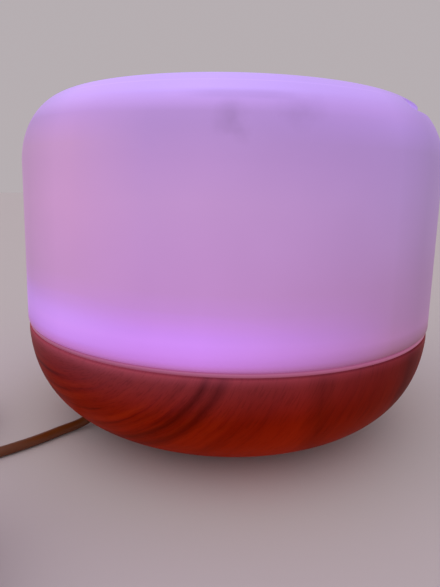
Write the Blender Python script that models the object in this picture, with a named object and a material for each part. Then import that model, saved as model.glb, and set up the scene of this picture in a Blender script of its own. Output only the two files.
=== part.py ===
"""Ultrasonic essential oil diffuser: a lift-off translucent cover and a mist hood over a water tank, on a
bowl-shaped base that holds the transducer, fan, light ring and boards, with its power cable and wall adapter.

The origin is on the table under the middle of the base. +Z is up, the two buttons face -Y and the cable
leaves at +Y. Dimensions below are millimetres; the helpers turn them into metres.
"""

import math

import bmesh
import bpy
from mathutils import Matrix, Vector

MM = 0.001
GAP = 0.3  # clearance left wherever two pieces meet

# Cover: a drafted wall, an elliptical shoulder and a shallow crown
COVER_RIM_Z = 46.6
COVER_RIM_R = 85.45
WALL_TOP_Z = 105.3
WALL_TOP_R = 84.0
SHOULDER_ACROSS = 20.2
SHOULDER_UP = 26.1
CROWN_SLOPE = 0.15  # slope where the shoulder hands over to the crown
COVER_WALL = 2.0
MIST_HOLE_R = 8.0
CROWN_STEPS = 5
SHOULDER_STEPS = 6
WALL_STEPS = 2
# The dish that carries mist from the hole out over the shoulder
DISH_HEADING = math.radians(-118.0)
DISH_END_R = 19.0
DISH_WIDENING = 0.08
DISH_EDGE = 8.0
DISH_DEPTHS = ((-30.0, 5.5), (15.0, 5.5), (66.0, 4.6), (75.0, 2.6), (82.0, 0.0))  # (distance out, depth)
# The crescent step where the dish opens on the shoulder
STEP_R = 72.6
STEP_BLUR = 0.2  # half the width of its wall
STEP_FLOOR_Z = 125.0
STEP_REACH = math.radians(43.0)  # to each side of the dish's heading
STEP_FADE = math.radians(9.0)

# Base bowl
BASE_TOP_Z = 44.4
BASE_TOP_R = 85.2
BASE_FLOOR_Z = 3.0
BASE_FLOOR_R = 44.0
BASE_WALL = 2.2
BOWL_DROP = 25.0  # how far the wall stays upright, as a Bezier handle
BOWL_SPREAD = 26.0  # how far the floor stays level, as a Bezier handle
LEDGE_R = 37.0
LEDGE_Z = 6.3
LEDGE_TOP_Z = 8.3

# Water tank and deck
TANK_R = 62.0
TANK_WALL = 2.2
TANK_RIM_Z = 96.0
TANK_FLOOR_Z = 47.0
TANK_UNDER_Z = 44.4
DECK_UNDER_Z = 45.0
DECK_TOP_Z = 46.6
DECK_LIP_R = 84.9
DECK_LIP_Z = 46.3
WELL_R = 8.5
WELL_Z = 44.6
WELL_UNDER_Z = 42.2
PIPE_Y = -30.0
PIPE_R = 8.6
PIPE_BORE_R = 6.6
PIPE_TOP_Z = 100.0
PIPE_FOOT_Z = 30.0
FLANGE_R = 9.6
FLANGE_THICK = 1.5

# Fixings
BOSS_RADIUS = 40.5
BOSS_ANGLES = (30.0, 150.0, 210.0, 330.0)
BOSS_R = 4.0
BOSS_FOOT_Z = LEDGE_TOP_Z + GAP
FOOT_RADIUS = 36.0
FOOT_ANGLES = (60.0, 120.0, 240.0, 300.0)
FOOT_R = 6.0
FOOT_RECESS_Z = 4.0
SCREW_HEAD_R = 2.8
SCREW_SHAFT_R = 1.45
COUNTERBORE_Z = 5.0
CLAMP_BOSS_RADIUS = 17.5
CLAMP_ANGLES = (30.0, 150.0, 270.0)

# Lights
LED_RADIUS = 73.0
LED_COUNT = 6
LED_BOARD_Z = 38.5
LED_BOARD_TOP_Z = 40.1
RING_TOP_Z = 49.4

# Fan and duct
FAN_Y = -18.0
FAN_HALF = 20.0
FAN_Z = 9.0
FAN_TOP_Z = 19.0
FAN_BORE_R = 18.8
FAN_HUB_R = 9.2
FAN_BLADES = 7
FAN_HOLE = 16.0
POST_R = 3.0
DUCT_TOP_Z = 26.3
DUCT_WALL = 1.5

# Bottom plate, with a recess for the power plug
PLATE_R = 43.6
PLATE_TOP_Z = 6.0
GRILLE_R = 14.0
SLOT_PITCH = 5.4
SLOT_HALF = 1.5
RECESS_HALF = 7.0
RECESS_START_Y = 18.0
RECESS_TOP_Z = 16.2
RECESS_WALL = 1.5
RECESS_END_Y = 42.5
PLUG_Z = 11.0

# Boards and buttons
BOARD_Z = 18.0
BOARD_TOP_Z = 19.6
BUTTON_X = 14.0
BUTTON_Z = 28.5
BUTTON_R = 6.5
BUTTON_TRAVEL = 1.2
BUTTON_FACE_Y = -83.0
BUTTON_BOARD_Y = -62.0
TACT_FRONT_Y = -67.3

# Power cable
CABLE_R = 1.9
CABLE_ROUTE = (
    (0.0, 44.3, 11.0),
    (0.0, 49.0, 10.7),
    (-0.1, 55.0, 9.0),
    (-0.4, 61.0, 5.8),
    (-1.0, 68.4, 2.7),
    (-2.9, 77.5, 1.95),
    (-5.8, 86.0, 1.95),
    (-7.6, 93.0, 1.95),
    (-8.9, 100.0, 1.95),
    (-10.0, 110.0, 1.95),
    (-10.8, 122.0, 1.95),
    (-11.1, 136.5, 1.95),
)
COIL_CENTRE = (25.4, 138.0)
COIL_IN_R = 11.4
COIL_OUT_R = 34.0
COIL_Z = 1.0
COIL_TOP_Z = 8.2
TIE_THICK = 0.7
TIE_ANGLE = math.radians(15.0)
LEAD_ROUTE = (
    (-6.0, 119.9, 6.2),
    (-8.9, 124.9, 6.2),
    (-11.7, 129.7, 6.2),
    (-17.7, 135.7, 6.3),
    (-26.0, 138.0, 6.4),
    (-30.2, 138.0, 6.5),
    (-34.3, 138.0, 6.5),
)
RELIEF_TIP_X = -34.6
RELIEF_FOOT_X = -44.7
ADAPTER_CENTRE = (-70.0, 138.0)
ADAPTER_SIZE = (50.0, 40.0, 27.0)
PRONG_SPACING = 12.7

# Facets round each turned shape
LARGE_STEPS = 40
MEDIUM_STEPS = 24
SMALL_STEPS = 12
TINY_STEPS = 8

WHITE = (0.88, 0.87, 0.86)
WOOD = (0.42, 0.16, 0.08)
DARK = (0.05, 0.05, 0.05)
GREEN = (0.05, 0.22, 0.12)
STEEL = (0.62, 0.62, 0.64)


# ---------------------------------------------------------------- helpers


def clear_scene():
    for thing in list(bpy.data.objects):
        bpy.data.objects.remove(thing, do_unlink=True)


def material(name, colour, roughness, metallic=0.0):
    mat = bpy.data.materials.get(name)
    if mat:
        return mat
    mat = bpy.data.materials.new(name)
    mat.use_nodes = True
    shader = mat.node_tree.nodes["Principled BSDF"]
    shader.inputs["Base Color"].default_value = (*colour, 1.0)
    shader.inputs["Roughness"].default_value = roughness
    shader.inputs["Metallic"].default_value = metallic
    return mat


def place(name, bm, mat=None, parent=None, at=(0.0, 0.0, 0.0)):
    """Turn a bmesh into a named object, its faces pointing out and its round parts smooth."""
    bmesh.ops.recalc_face_normals(bm, faces=bm.faces)
    mesh = bpy.data.meshes.new(name)
    bm.to_mesh(mesh)
    bm.free()
    mesh.shade_smooth()
    mesh.set_sharp_from_angle(angle=math.radians(32))
    thing = bpy.data.objects.new(name, mesh)
    bpy.context.collection.objects.link(thing)
    thing.location = Vector(at) * MM
    if mat:
        mesh.materials.append(mat)
    if parent:
        thing.parent = parent
    return thing


def empty(name, at):
    thing = bpy.data.objects.new(name, None)
    bpy.context.collection.objects.link(thing)
    thing.location = Vector(at) * MM
    return thing


def combine(target, other, operation):
    """Add a Boolean modifier and put its helper object out of sight."""
    step = target.modifiers.new(other.name, "BOOLEAN")
    step.operation = operation
    step.solver = "EXACT"
    step.object = other
    other.hide_render = True
    other.display_type = "WIRE"


def merged(*shapes):
    """One bmesh holding several separate closed shapes."""
    whole = bmesh.new()
    for shape in shapes:
        mesh = bpy.data.meshes.new("part")
        shape.to_mesh(mesh)
        shape.free()
        whole.from_mesh(mesh)
        bpy.data.meshes.remove(mesh)
    bmesh.ops.recalc_face_normals(whole, faces=whole.faces)
    return whole


def turned(profile, steps, closed=True):
    """Spin a profile of (radius, height) points round the Z axis."""
    bm = bmesh.new()
    verts = [bm.verts.new((r * MM, 0.0, z * MM)) for r, z in profile]
    pairs = list(zip(verts, verts[1:]))
    if closed:
        pairs.append((verts[-1], verts[0]))
    edges = [bm.edges.new(pair) for pair in pairs]
    bmesh.ops.spin(
        bm, geom=verts + edges, cent=(0, 0, 0), axis=(0, 0, 1), angle=math.tau, steps=steps, use_merge=True
    )
    bmesh.ops.remove_doubles(bm, verts=bm.verts, dist=1e-6)
    bmesh.ops.dissolve_degenerate(bm, edges=bm.edges, dist=1e-7)
    bmesh.ops.recalc_face_normals(bm, faces=bm.faces)
    return bm


def moved(bm, x=0.0, y=0.0, z=0.0):
    bmesh.ops.translate(bm, verts=bm.verts, vec=Vector((x, y, z)) * MM)
    return bm


def aimed(bm, axis):
    """Swing a shape made along +Z so that it runs along another axis."""
    turn = Vector((0, 0, 1)).rotation_difference(Vector(axis)).to_matrix()
    bmesh.ops.rotate(bm, verts=bm.verts, cent=(0, 0, 0), matrix=turn)
    return bm


def rod(radius, low, high, x=0.0, y=0.0, steps=MEDIUM_STEPS):
    profile = [(0.0, low), (radius, low), (radius, high), (0.0, high)]
    return moved(turned(profile, steps, closed=False), x, y)


def block(x, y, z):
    """A box from (low, high) pairs along each axis."""
    bm = bmesh.new()
    bmesh.ops.create_cube(bm, size=1.0)
    size = Vector((x[1] - x[0], y[1] - y[0], z[1] - z[0])) * MM
    centre = Vector((x[0] + x[1], y[0] + y[1], z[0] + z[1])) * MM / 2
    bmesh.ops.scale(bm, vec=size, verts=bm.verts)
    bmesh.ops.translate(bm, vec=centre, verts=bm.verts)
    return bm


def side_prism(outline, half_width):
    """Extrude a (y, z) outline along X, centred on the YZ plane."""
    bm = bmesh.new()
    base = bm.faces.new([bm.verts.new((-half_width * MM, y * MM, z * MM)) for y, z in outline])
    made = bmesh.ops.extrude_face_region(bm, geom=[base])
    new = [item for item in made["geom"] if isinstance(item, bmesh.types.BMVert)]
    bmesh.ops.translate(bm, verts=new, vec=(2 * half_width * MM, 0, 0))
    bmesh.ops.recalc_face_normals(bm, faces=bm.faces)
    return bm


def ring_solid(rings):
    """A closed tube-like solid whose cross-sections are the given rings, the last joined to the first."""
    bm = bmesh.new()
    rows = [[bm.verts.new(Vector(p) * MM) for p in ring] for ring in rings]
    count = len(rows[0])
    for row, after in zip(rows, rows[1:] + rows[:1]):
        for k in range(count):
            bm.faces.new((row[k], row[(k + 1) % count], after[(k + 1) % count], after[k]))
    return bm


def rounded(thing, width, segments=2):
    step = thing.modifiers.new("edges", "BEVEL")
    step.width = width * MM
    step.segments = segments
    step.limit_method = "ANGLE"
    step.angle_limit = math.radians(40)
    return thing


def polar(radius, degrees):
    angle = math.radians(degrees)
    return radius * math.cos(angle), radius * math.sin(angle)


def screw_holes(top):
    """Clearance holes for the bottom screws, from under the base up to a height."""
    radius = SCREW_SHAFT_R + 0.4
    return [rod(radius, 0.0, top, *polar(BOSS_RADIUS, a), steps=TINY_STEPS) for a in BOSS_ANGLES]


def bezier(start, first, second, end, steps):
    points = []
    for k in range(steps + 1):
        t = k / steps
        u = 1 - t
        points.append(
            tuple(
                u**3 * a + 3 * u * u * t * b + 3 * u * t * t * c + t**3 * d
                for a, b, c, d in zip(start, first, second, end)
            )
        )
    return points


def smooth_route(points, spacing):
    """Evenly spaced points along a smooth curve through the given ones (Catmull-Rom)."""
    knots = [Vector(p) for p in points]
    knots = [2 * knots[0] - knots[1], *knots, 2 * knots[-1] - knots[-2]]
    dense = []
    for a, b, c, d in zip(knots, knots[1:], knots[2:], knots[3:]):
        for k in range(12):
            t = k / 12
            square, cube = 2 * a - 5 * b + 4 * c - d, 3 * b - a - 3 * c + d
            dense.append((2 * b + (c - a) * t + square * t * t + cube * t**3) / 2)
    dense.append(knots[-2])
    length = sum((q - p).length for p, q in zip(dense, dense[1:]))
    count = max(2, round(length / spacing))
    route = [dense[0]]
    walked = 0.0
    for p, q in zip(dense, dense[1:]):
        step = (q - p).length
        while len(route) < count and walked + step >= length * len(route) / count:
            route.append(p.lerp(q, (length * len(route) / count - walked) / step))
        walked += step
    return [*route, dense[-1]]


def tube(name, points, radius, mat, spacing, resolution=2):
    """A cable: a round-sectioned curve along a smooth route."""
    curve = bpy.data.curves.new(name, "CURVE")
    curve.dimensions = "3D"
    curve.bevel_depth = radius * MM
    curve.bevel_resolution = resolution
    curve.use_fill_caps = True
    route = smooth_route(points, spacing)
    spline = curve.splines.new("POLY")
    spline.points.add(len(route) - 1)
    for point, place_at in zip(spline.points, route):
        point.co = (*(place_at * MM), 1.0)
    curve.materials.append(mat)
    thing = bpy.data.objects.new(name, curve)
    bpy.context.collection.objects.link(thing)
    return thing


# ---------------------------------------------------------------- cover


def cover_meridian():
    """Points down the cover from its hole to its rim: (radius, height, normal, distance from the top)."""
    across, up = SHOULDER_ACROSS, SHOULDER_UP
    centre_r = WALL_TOP_R - across
    hand_over = math.atan2(up, CROWN_SLOPE * across)
    hand_r = centre_r + across * math.cos(hand_over)
    hand_z = WALL_TOP_Z + up * math.sin(hand_over)
    tilt = math.atan(CROWN_SLOPE)
    crown_r = hand_r / math.sin(tilt)
    crown_z = hand_z - crown_r * math.cos(tilt)
    points = []
    for k in range(CROWN_STEPS):
        angle = math.asin((MIST_HOLE_R + (hand_r - MIST_HOLE_R) * k / CROWN_STEPS) / crown_r)
        out, high = math.sin(angle), math.cos(angle)
        points.append((crown_r * out, crown_z + crown_r * high, Vector((out, high))))
    angles = [hand_over * (1 - k / SHOULDER_STEPS) for k in range(SHOULDER_STEPS)]
    angles += [math.acos((STEP_R + side * STEP_BLUR - centre_r) / across) for side in (-1, 1)]
    for angle in sorted(angles, reverse=True):
        normal = Vector((math.cos(angle) / across, math.sin(angle) / up)).normalized()
        points.append((centre_r + across * math.cos(angle), WALL_TOP_Z + up * math.sin(angle), normal))
    drop = WALL_TOP_Z - COVER_RIM_Z
    normal = Vector((drop, COVER_RIM_R - WALL_TOP_R)).normalized()
    for k in range(WALL_STEPS + 1):
        share = k / WALL_STEPS
        points.append((WALL_TOP_R + (COVER_RIM_R - WALL_TOP_R) * share, WALL_TOP_Z - drop * share, normal))
    walked = MIST_HOLE_R
    meridian = []
    for k, (r, z, normal) in enumerate(points):
        if k:
            walked += math.hypot(r - points[k - 1][0], z - points[k - 1][1])
        meridian.append((r, z, normal, walked))
    return meridian


def step_depth(r, z, normal, angle):
    """How far the crescent step sinks the cover: level from its wall out to the shoulder."""
    if r < STEP_R:
        return 0.0
    turn = abs((angle + math.pi) % math.tau - math.pi)
    share = min(max((STEP_REACH - turn) / STEP_FADE + 1.0, 0.0), 1.0)
    return max(z - STEP_FLOOR_Z, 0.0) * normal.y * share


def dish_depth(r, along, angle):
    """How far the mist dish sinks the cover at a radius, distance from the top and heading."""
    out = along * math.cos(angle)
    side = r * math.sin(angle)
    width = DISH_END_R + DISH_WIDENING * max(out, 0.0)
    away = math.hypot(out, side) if out < 0 else abs(side)
    inside = min(max((width - away) / DISH_EDGE + 0.5, 0.0), 1.0)
    depth = 0.0
    for (x0, d0), (x1, d1) in zip(DISH_DEPTHS, DISH_DEPTHS[1:]):
        if x0 <= out <= x1:
            t = (out - x0) / (x1 - x0)
            depth = d0 + (d1 - d0) * t
    return depth * inside * inside * (3 - 2 * inside)


def top_cover(mat):
    outside, inside = [], []
    for r, z, normal, along in cover_meridian():
        for rows, inset in ((outside, 0.0), (inside, COVER_WALL)):
            row = []
            for k in range(LARGE_STEPS):
                angle = math.tau * k / LARGE_STEPS
                sunk = inset + max(dish_depth(r, along, angle), step_depth(r, z, normal, angle))
                radius = r - sunk * normal.x
                height = max(z - sunk * normal.y, COVER_RIM_Z)
                heading = angle + DISH_HEADING
                row.append((radius * math.cos(heading), radius * math.sin(heading), height))
            rows.append(row)
    parent = empty("cover_axis", (0, 0, COVER_RIM_Z))
    cover = place("top_cover", ring_solid(outside + inside[::-1]), mat, parent)
    cover.matrix_parent_inverse = Matrix.Translation((0, 0, -COVER_RIM_Z * MM))


# ---------------------------------------------------------------- hood and tank


def mist_hood(mat):
    profile = [
        (65.5, 96.4), (65.5, 98.4), (60.0, 102.0), (45.0, 108.0), (28.0, 112.5), (12.0, 116.0),
        (10.8, 127.4), (9.0, 127.4), (9.2, 115.2), (27.5, 110.6), (44.0, 106.2), (58.3, 100.4),
        (59.7, 91.0), (61.3, 91.0), (61.3, 96.4),
    ]
    place("mist_hood", turned(profile, LARGE_STEPS), mat)


def water_tank(mat):
    wall = TANK_R + TANK_WALL
    profile = [
        (WELL_R, WELL_Z), (WELL_R, WELL_UNDER_Z), (15.0, WELL_UNDER_Z), (15.6, TANK_UNDER_Z),
        (63.0, TANK_UNDER_Z), (66.0, DECK_UNDER_Z), (81.0, DECK_UNDER_Z), (81.0, 40.0), (82.3, 40.0),
        (82.3, DECK_UNDER_Z), (DECK_LIP_R, DECK_UNDER_Z), (DECK_LIP_R, DECK_LIP_Z), (82.9, DECK_LIP_Z),
        (82.9, 50.5), (81.4, 50.5), (81.4, DECK_TOP_Z), (wall, DECK_TOP_Z), (wall, TANK_RIM_Z),
        (TANK_R, TANK_RIM_Z), (TANK_R, 53.0), (58.0, 49.4), (17.5, TANK_FLOOR_Z), (14.5, WELL_Z),
    ]
    tank = place("water_tank", turned(profile, LARGE_STEPS), mat)
    bosses = [rod(BOSS_R, BOSS_FOOT_Z, 46.0, *polar(BOSS_RADIUS, a), steps=SMALL_STEPS) for a in BOSS_ANGLES]
    bosses += [rod(2.6, 38.0, 44.9, *polar(CLAMP_BOSS_RADIUS, a), steps=TINY_STEPS) for a in CLAMP_ANGLES]
    bosses += [
        rod(2.2, LED_BOARD_TOP_Z + GAP, 45.7, *polar(LED_RADIUS, a), steps=TINY_STEPS) for a in CLAMP_ANGLES
    ]
    combine(tank, place("tank_bosses", merged(*bosses)), "UNION")
    holes = screw_holes(22.0)
    holes += [rod(1.4, 30.0, 43.3, *polar(CLAMP_BOSS_RADIUS, a), steps=TINY_STEPS) for a in CLAMP_ANGLES]
    for k in range(LED_COUNT):
        holes.append(rod(3.6, 42.0, 50.0, *polar(LED_RADIUS, 360.0 * k / LED_COUNT), steps=TINY_STEPS))
    holes.append(rod(PIPE_R + GAP, TANK_UNDER_Z - 2, TANK_FLOOR_Z + 5, 0.0, PIPE_Y))
    combine(tank, place("tank_holes", merged(*holes)), "DIFFERENCE")


def air_pipe(mat):
    """The pipe that brings the fan's air up through the tank, with a flange that seals under its floor."""
    flange_top = TANK_UNDER_Z - GAP
    profile = [
        (PIPE_BORE_R, PIPE_FOOT_Z), (PIPE_R, PIPE_FOOT_Z), (PIPE_R, flange_top - FLANGE_THICK),
        (FLANGE_R, flange_top - FLANGE_THICK), (FLANGE_R, flange_top), (PIPE_R, flange_top),
        (PIPE_R, PIPE_TOP_Z), (PIPE_BORE_R, PIPE_TOP_Z),
    ]
    place("air_pipe", moved(turned(profile, MEDIUM_STEPS), y=PIPE_Y), mat)


def transducer(metal, rubber, plastic):
    place("transducer_disc", rod(10.0, 39.5, 40.5), metal)
    seal = [
        (12.5, 38.0), (12.5, 41.9), (8.4, 41.9), (8.4, 40.8),
        (10.3, 40.8), (10.3, 39.2), (8.4, 39.2), (8.4, 38.0),
    ]
    place("transducer_seal", turned(seal, MEDIUM_STEPS), rubber)
    plate = [(8.6, 36.0), (20.5, 36.0), (20.5, 37.7), (8.6, 37.7)]
    clamp = place("transducer_clamp", turned(plate, MEDIUM_STEPS), plastic)
    holes = [rod(1.5, 30.0, 45.0, *polar(CLAMP_BOSS_RADIUS, a), steps=TINY_STEPS) for a in CLAMP_ANGLES]
    combine(clamp, place("clamp_holes", merged(*holes)), "DIFFERENCE")
    for k, angle in enumerate(CLAMP_ANGLES, 1):
        profile = [(0.0, 34.2), (1.8, 34.4), (2.2, 35.0), (2.2, 35.7), (1.0, 35.7), (1.0, 42.6), (0.0, 43.0)]
        screw = moved(turned(profile, TINY_STEPS, closed=False), *polar(CLAMP_BOSS_RADIUS, angle))
        place(f"clamp_screw_{k}", screw, metal)


# ---------------------------------------------------------------- lights


def lights(diffuser, board, lens):
    low, high = DECK_TOP_Z + GAP, RING_TOP_Z
    ring = [(67.0, low), (80.6, low), (80.6, high), (67.0, high)]
    place("light_ring", turned(ring, LARGE_STEPS), diffuser)
    ring = [(67.0, LED_BOARD_Z), (79.0, LED_BOARD_Z), (79.0, LED_BOARD_TOP_Z), (67.0, LED_BOARD_TOP_Z)]
    place("led_board", turned(ring, LARGE_STEPS), board)
    foot = LED_BOARD_TOP_Z + GAP
    profile = [(0.0, foot), (2.8, foot), (2.8, 41.0), (2.4, 41.0), (2.4, 42.9), (1.6, 44.0), (0.0, 44.5)]
    for k in range(LED_COUNT):
        lamp = moved(turned(profile, TINY_STEPS, closed=False), *polar(LED_RADIUS, 360.0 * k / LED_COUNT))
        place(f"led_{k + 1}", lamp, lens)


# ---------------------------------------------------------------- fan and duct


def fan_frame(mat):
    half = FAN_HALF
    frame = place("fan_frame", block((-half, half), (FAN_Y - half, FAN_Y + half), (FAN_Z, FAN_TOP_Z)), mat)
    bore = rod(FAN_BORE_R, FAN_Z - 1, FAN_TOP_Z + 1, 0.0, FAN_Y)
    holes = [
        rod(2.1, FAN_Z - 1, FAN_TOP_Z + 1, sx * FAN_HOLE, FAN_Y + sy * FAN_HOLE, steps=TINY_STEPS)
        for sx in (-1, 1)
        for sy in (-1, 1)
    ]
    combine(frame, place("fan_openings", merged(bore, *holes)), "DIFFERENCE")
    spider = place("fan_spider", rod(FAN_HUB_R, FAN_Z, FAN_Z + 1.2, 0.0, FAN_Y, steps=16))
    for k in range(3):
        arm = block((0.0, half - 0.6), (-1.2, 1.2), (FAN_Z + 0.1, FAN_Z + 1.1))
        about = Matrix.Rotation(math.radians(120 * k), 3, "Z")
        bmesh.ops.rotate(arm, verts=arm.verts, cent=(0, 0, 0), matrix=about)
        combine(spider, place(f"fan_arm_{k}", moved(arm, 0.0, FAN_Y)), "UNION")
    combine(frame, spider, "UNION")


def fan_rotor(mat):
    low, high = FAN_Z + 1.5, FAN_TOP_Z - 0.8
    axis = empty("fan_axis", (0, FAN_Y, low))
    hub = [(0.0, low), (FAN_HUB_R, low), (FAN_HUB_R, high - 0.8), (FAN_HUB_R - 0.8, high), (0.0, high)]
    rotor = place("fan_rotor", moved(turned(hub, 21, closed=False), z=-low), mat, axis)
    blades = []
    for k in range(FAN_BLADES):
        blade = block((FAN_HUB_R - 1.0, 18.1), (-0.6, 0.6), (-4.2, 4.2))
        pitch = Matrix.Rotation(math.radians(48), 3, "X")
        bmesh.ops.rotate(blade, verts=blade.verts, cent=(0, 0, 0), matrix=pitch)
        about = Matrix.Rotation(math.tau * k / FAN_BLADES, 3, "Z")
        bmesh.ops.rotate(blade, verts=blade.verts, cent=(0, 0, 0), matrix=about)
        blades.append(moved(blade, z=(high - low) / 2))
    combine(rotor, place("fan_blades", merged(*blades), parent=axis), "UNION")


def air_duct(mat):
    low = FAN_TOP_Z + GAP
    front, back = -39.5, 3.5
    side = FAN_HALF + DUCT_WALL
    duct = place("air_duct", block((-side, side), (front, back), (low, DUCT_TOP_Z)), mat)
    neck = rod(PIPE_BORE_R + DUCT_WALL, DUCT_TOP_Z - 1, PIPE_FOOT_Z - GAP, 0.0, PIPE_Y)
    combine(duct, place("duct_neck", neck), "UNION")
    room = block(
        (-FAN_HALF, FAN_HALF), (front + DUCT_WALL, back - DUCT_WALL), (low - 1, DUCT_TOP_Z - DUCT_WALL)
    )
    combine(duct, place("duct_room", room), "DIFFERENCE")
    combine(duct, place("duct_bore", rod(PIPE_BORE_R, low + 1, PIPE_FOOT_Z + 1, 0.0, PIPE_Y)), "DIFFERENCE")


def fan_screws(metal):
    y = FAN_Y + FAN_HOLE
    for k, x in enumerate((-FAN_HOLE, FAN_HOLE), 1):
        profile = [(0.0, 4.2), (1.5, 4.6), (1.5, 17.0), (0.0, 17.4)]
        place(f"fan_screw_{k}", moved(turned(profile, TINY_STEPS, closed=False), x, y), metal)


# ---------------------------------------------------------------- base


def bowl_outside(steps):
    top, floor = (BASE_TOP_R, BASE_TOP_Z), (BASE_FLOOR_R, BASE_FLOOR_Z)
    first = (BASE_TOP_R, BASE_TOP_Z - BOWL_DROP)
    second = (BASE_FLOOR_R + BOWL_SPREAD, BASE_FLOOR_Z)
    return bezier(top, first, second, floor, steps)


def bowl_inside(steps):
    top, floor = (BASE_TOP_R - BASE_WALL, BASE_TOP_Z), (48.0, BASE_FLOOR_Z + 2.9)
    first = (top[0], BASE_TOP_Z - BOWL_DROP + 1.5)
    second = (floor[0] + BOWL_SPREAD - 4.5, floor[1])
    return bezier(floor, second, first, top, steps)


def base_shell(mat):
    ledge = [(BASE_FLOOR_R, LEDGE_Z), (LEDGE_R, LEDGE_Z), (LEDGE_R, LEDGE_TOP_Z), (46.0, LEDGE_TOP_Z)]
    profile = bowl_outside(10) + ledge + bowl_inside(7)
    shell = place("base_shell", turned(profile, LARGE_STEPS), mat)
    roof = [
        (44.6, 4.1), (56.0, 5.7), (67.5, 10.1), (67.5, 10.8), (59.0, 13.8), (50.0, 15.4), (44.6, 15.6),
    ]
    combine(shell, place("channel_roof", side_prism(roof, 6.8)), "UNION")
    groove = [(43.0, -1.0), (66.0, -1.0), (66.0, 8.8), (58.0, 11.8), (50.0, 13.4), (43.0, 13.6)]
    combine(shell, place("channel_groove", side_prism(groove, 4.6)), "DIFFERENCE")
    ledge_gap = block((-8.9, 8.9), (30.0, 44.3), (2.0, 20.0))
    combine(shell, place("ledge_gap", ledge_gap), "DIFFERENCE")
    holes = screw_holes(12.0)
    for side in (-1, 1):
        hole = aimed(rod(BUTTON_R + 0.5, 72.0, 90.0), (0, -1, 0))
        holes.append(moved(hole, side * BUTTON_X, 0.0, BUTTON_Z))
    combine(shell, place("shell_holes", merged(*holes)), "DIFFERENCE")


def bottom_plate(mat):
    plate = place("bottom_plate", rod(PLATE_R, BASE_FLOOR_Z, PLATE_TOP_Z, steps=LARGE_STEPS), mat)
    outer = RECESS_HALF + RECESS_WALL
    along = (RECESS_START_Y - RECESS_WALL, RECESS_END_Y)
    walls = block((-outer, outer), along, (BASE_FLOOR_Z, RECESS_TOP_Z + RECESS_WALL))
    combine(plate, place("recess_walls", walls), "UNION")
    low, high, y = PLATE_TOP_Z - 1, FAN_Z - GAP, FAN_Y + FAN_HOLE
    posts = [rod(POST_R, low, high, x, y, steps=SMALL_STEPS) for x in (-FAN_HOLE, FAN_HOLE)]
    combine(plate, place("fan_posts", merged(*posts)), "UNION")
    cuts = [block((-RECESS_HALF, RECESS_HALF), (RECESS_START_Y, 60.0), (0.0, RECESS_TOP_Z))]
    cuts += [rod(FOOT_R + GAP, 0.0, FOOT_RECESS_Z, *polar(FOOT_RADIUS, a), steps=16) for a in FOOT_ANGLES]
    for angle in BOSS_ANGLES:
        profile = [(0.0, 0.0), (3.2, 0.0), (3.2, COUNTERBORE_Z), (1.8, COUNTERBORE_Z), (1.8, 9.0), (0.0, 9.0)]
        cuts.append(moved(turned(profile, SMALL_STEPS, closed=False), *polar(BOSS_RADIUS, angle)))
    for k in range(-2, 3):
        reach = math.sqrt(GRILLE_R**2 - (SLOT_PITCH * k) ** 2)
        mid = FAN_Y + SLOT_PITCH * k
        cuts.append(block((-reach, reach), (mid - SLOT_HALF, mid + SLOT_HALF), (0.0, 9.0)))
    cuts += [rod(1.9, 0.0, 12.0, x, y, steps=TINY_STEPS) for x in (-FAN_HOLE, FAN_HOLE)]
    combine(plate, place("plate_cuts", merged(*cuts)), "DIFFERENCE")
    mouth = moved(aimed(rod(3.3, 14.0, 20.0), (0, 1, 0)), z=PLUG_Z)
    combine(plate, place("plug_mouth", mouth), "DIFFERENCE")


def feet_and_screws(rubber, metal):
    for k, angle in enumerate(FOOT_ANGLES, 1):
        profile = [(0.0, 0.0), (FOOT_R - 0.8, 0.0), (FOOT_R, 0.8), (FOOT_R, FOOT_RECESS_Z - GAP)]
        profile.append((0.0, FOOT_RECESS_Z - GAP))
        place(f"foot_{k}", moved(turned(profile, 16, closed=False), *polar(FOOT_RADIUS, angle)), rubber)
    for k, angle in enumerate(BOSS_ANGLES, 1):
        profile = [
            (0.0, 3.2), (SCREW_HEAD_R - 0.5, 3.2), (SCREW_HEAD_R, 3.7), (SCREW_HEAD_R, COUNTERBORE_Z - GAP),
            (SCREW_SHAFT_R, COUNTERBORE_Z - GAP), (SCREW_SHAFT_R, 20.0), (0.0, 21.2),
        ]
        screw = moved(turned(profile, TINY_STEPS, closed=False), *polar(BOSS_RADIUS, angle))
        place(f"bottom_screw_{k}", screw, metal)


# ---------------------------------------------------------------- electronics and buttons


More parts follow.
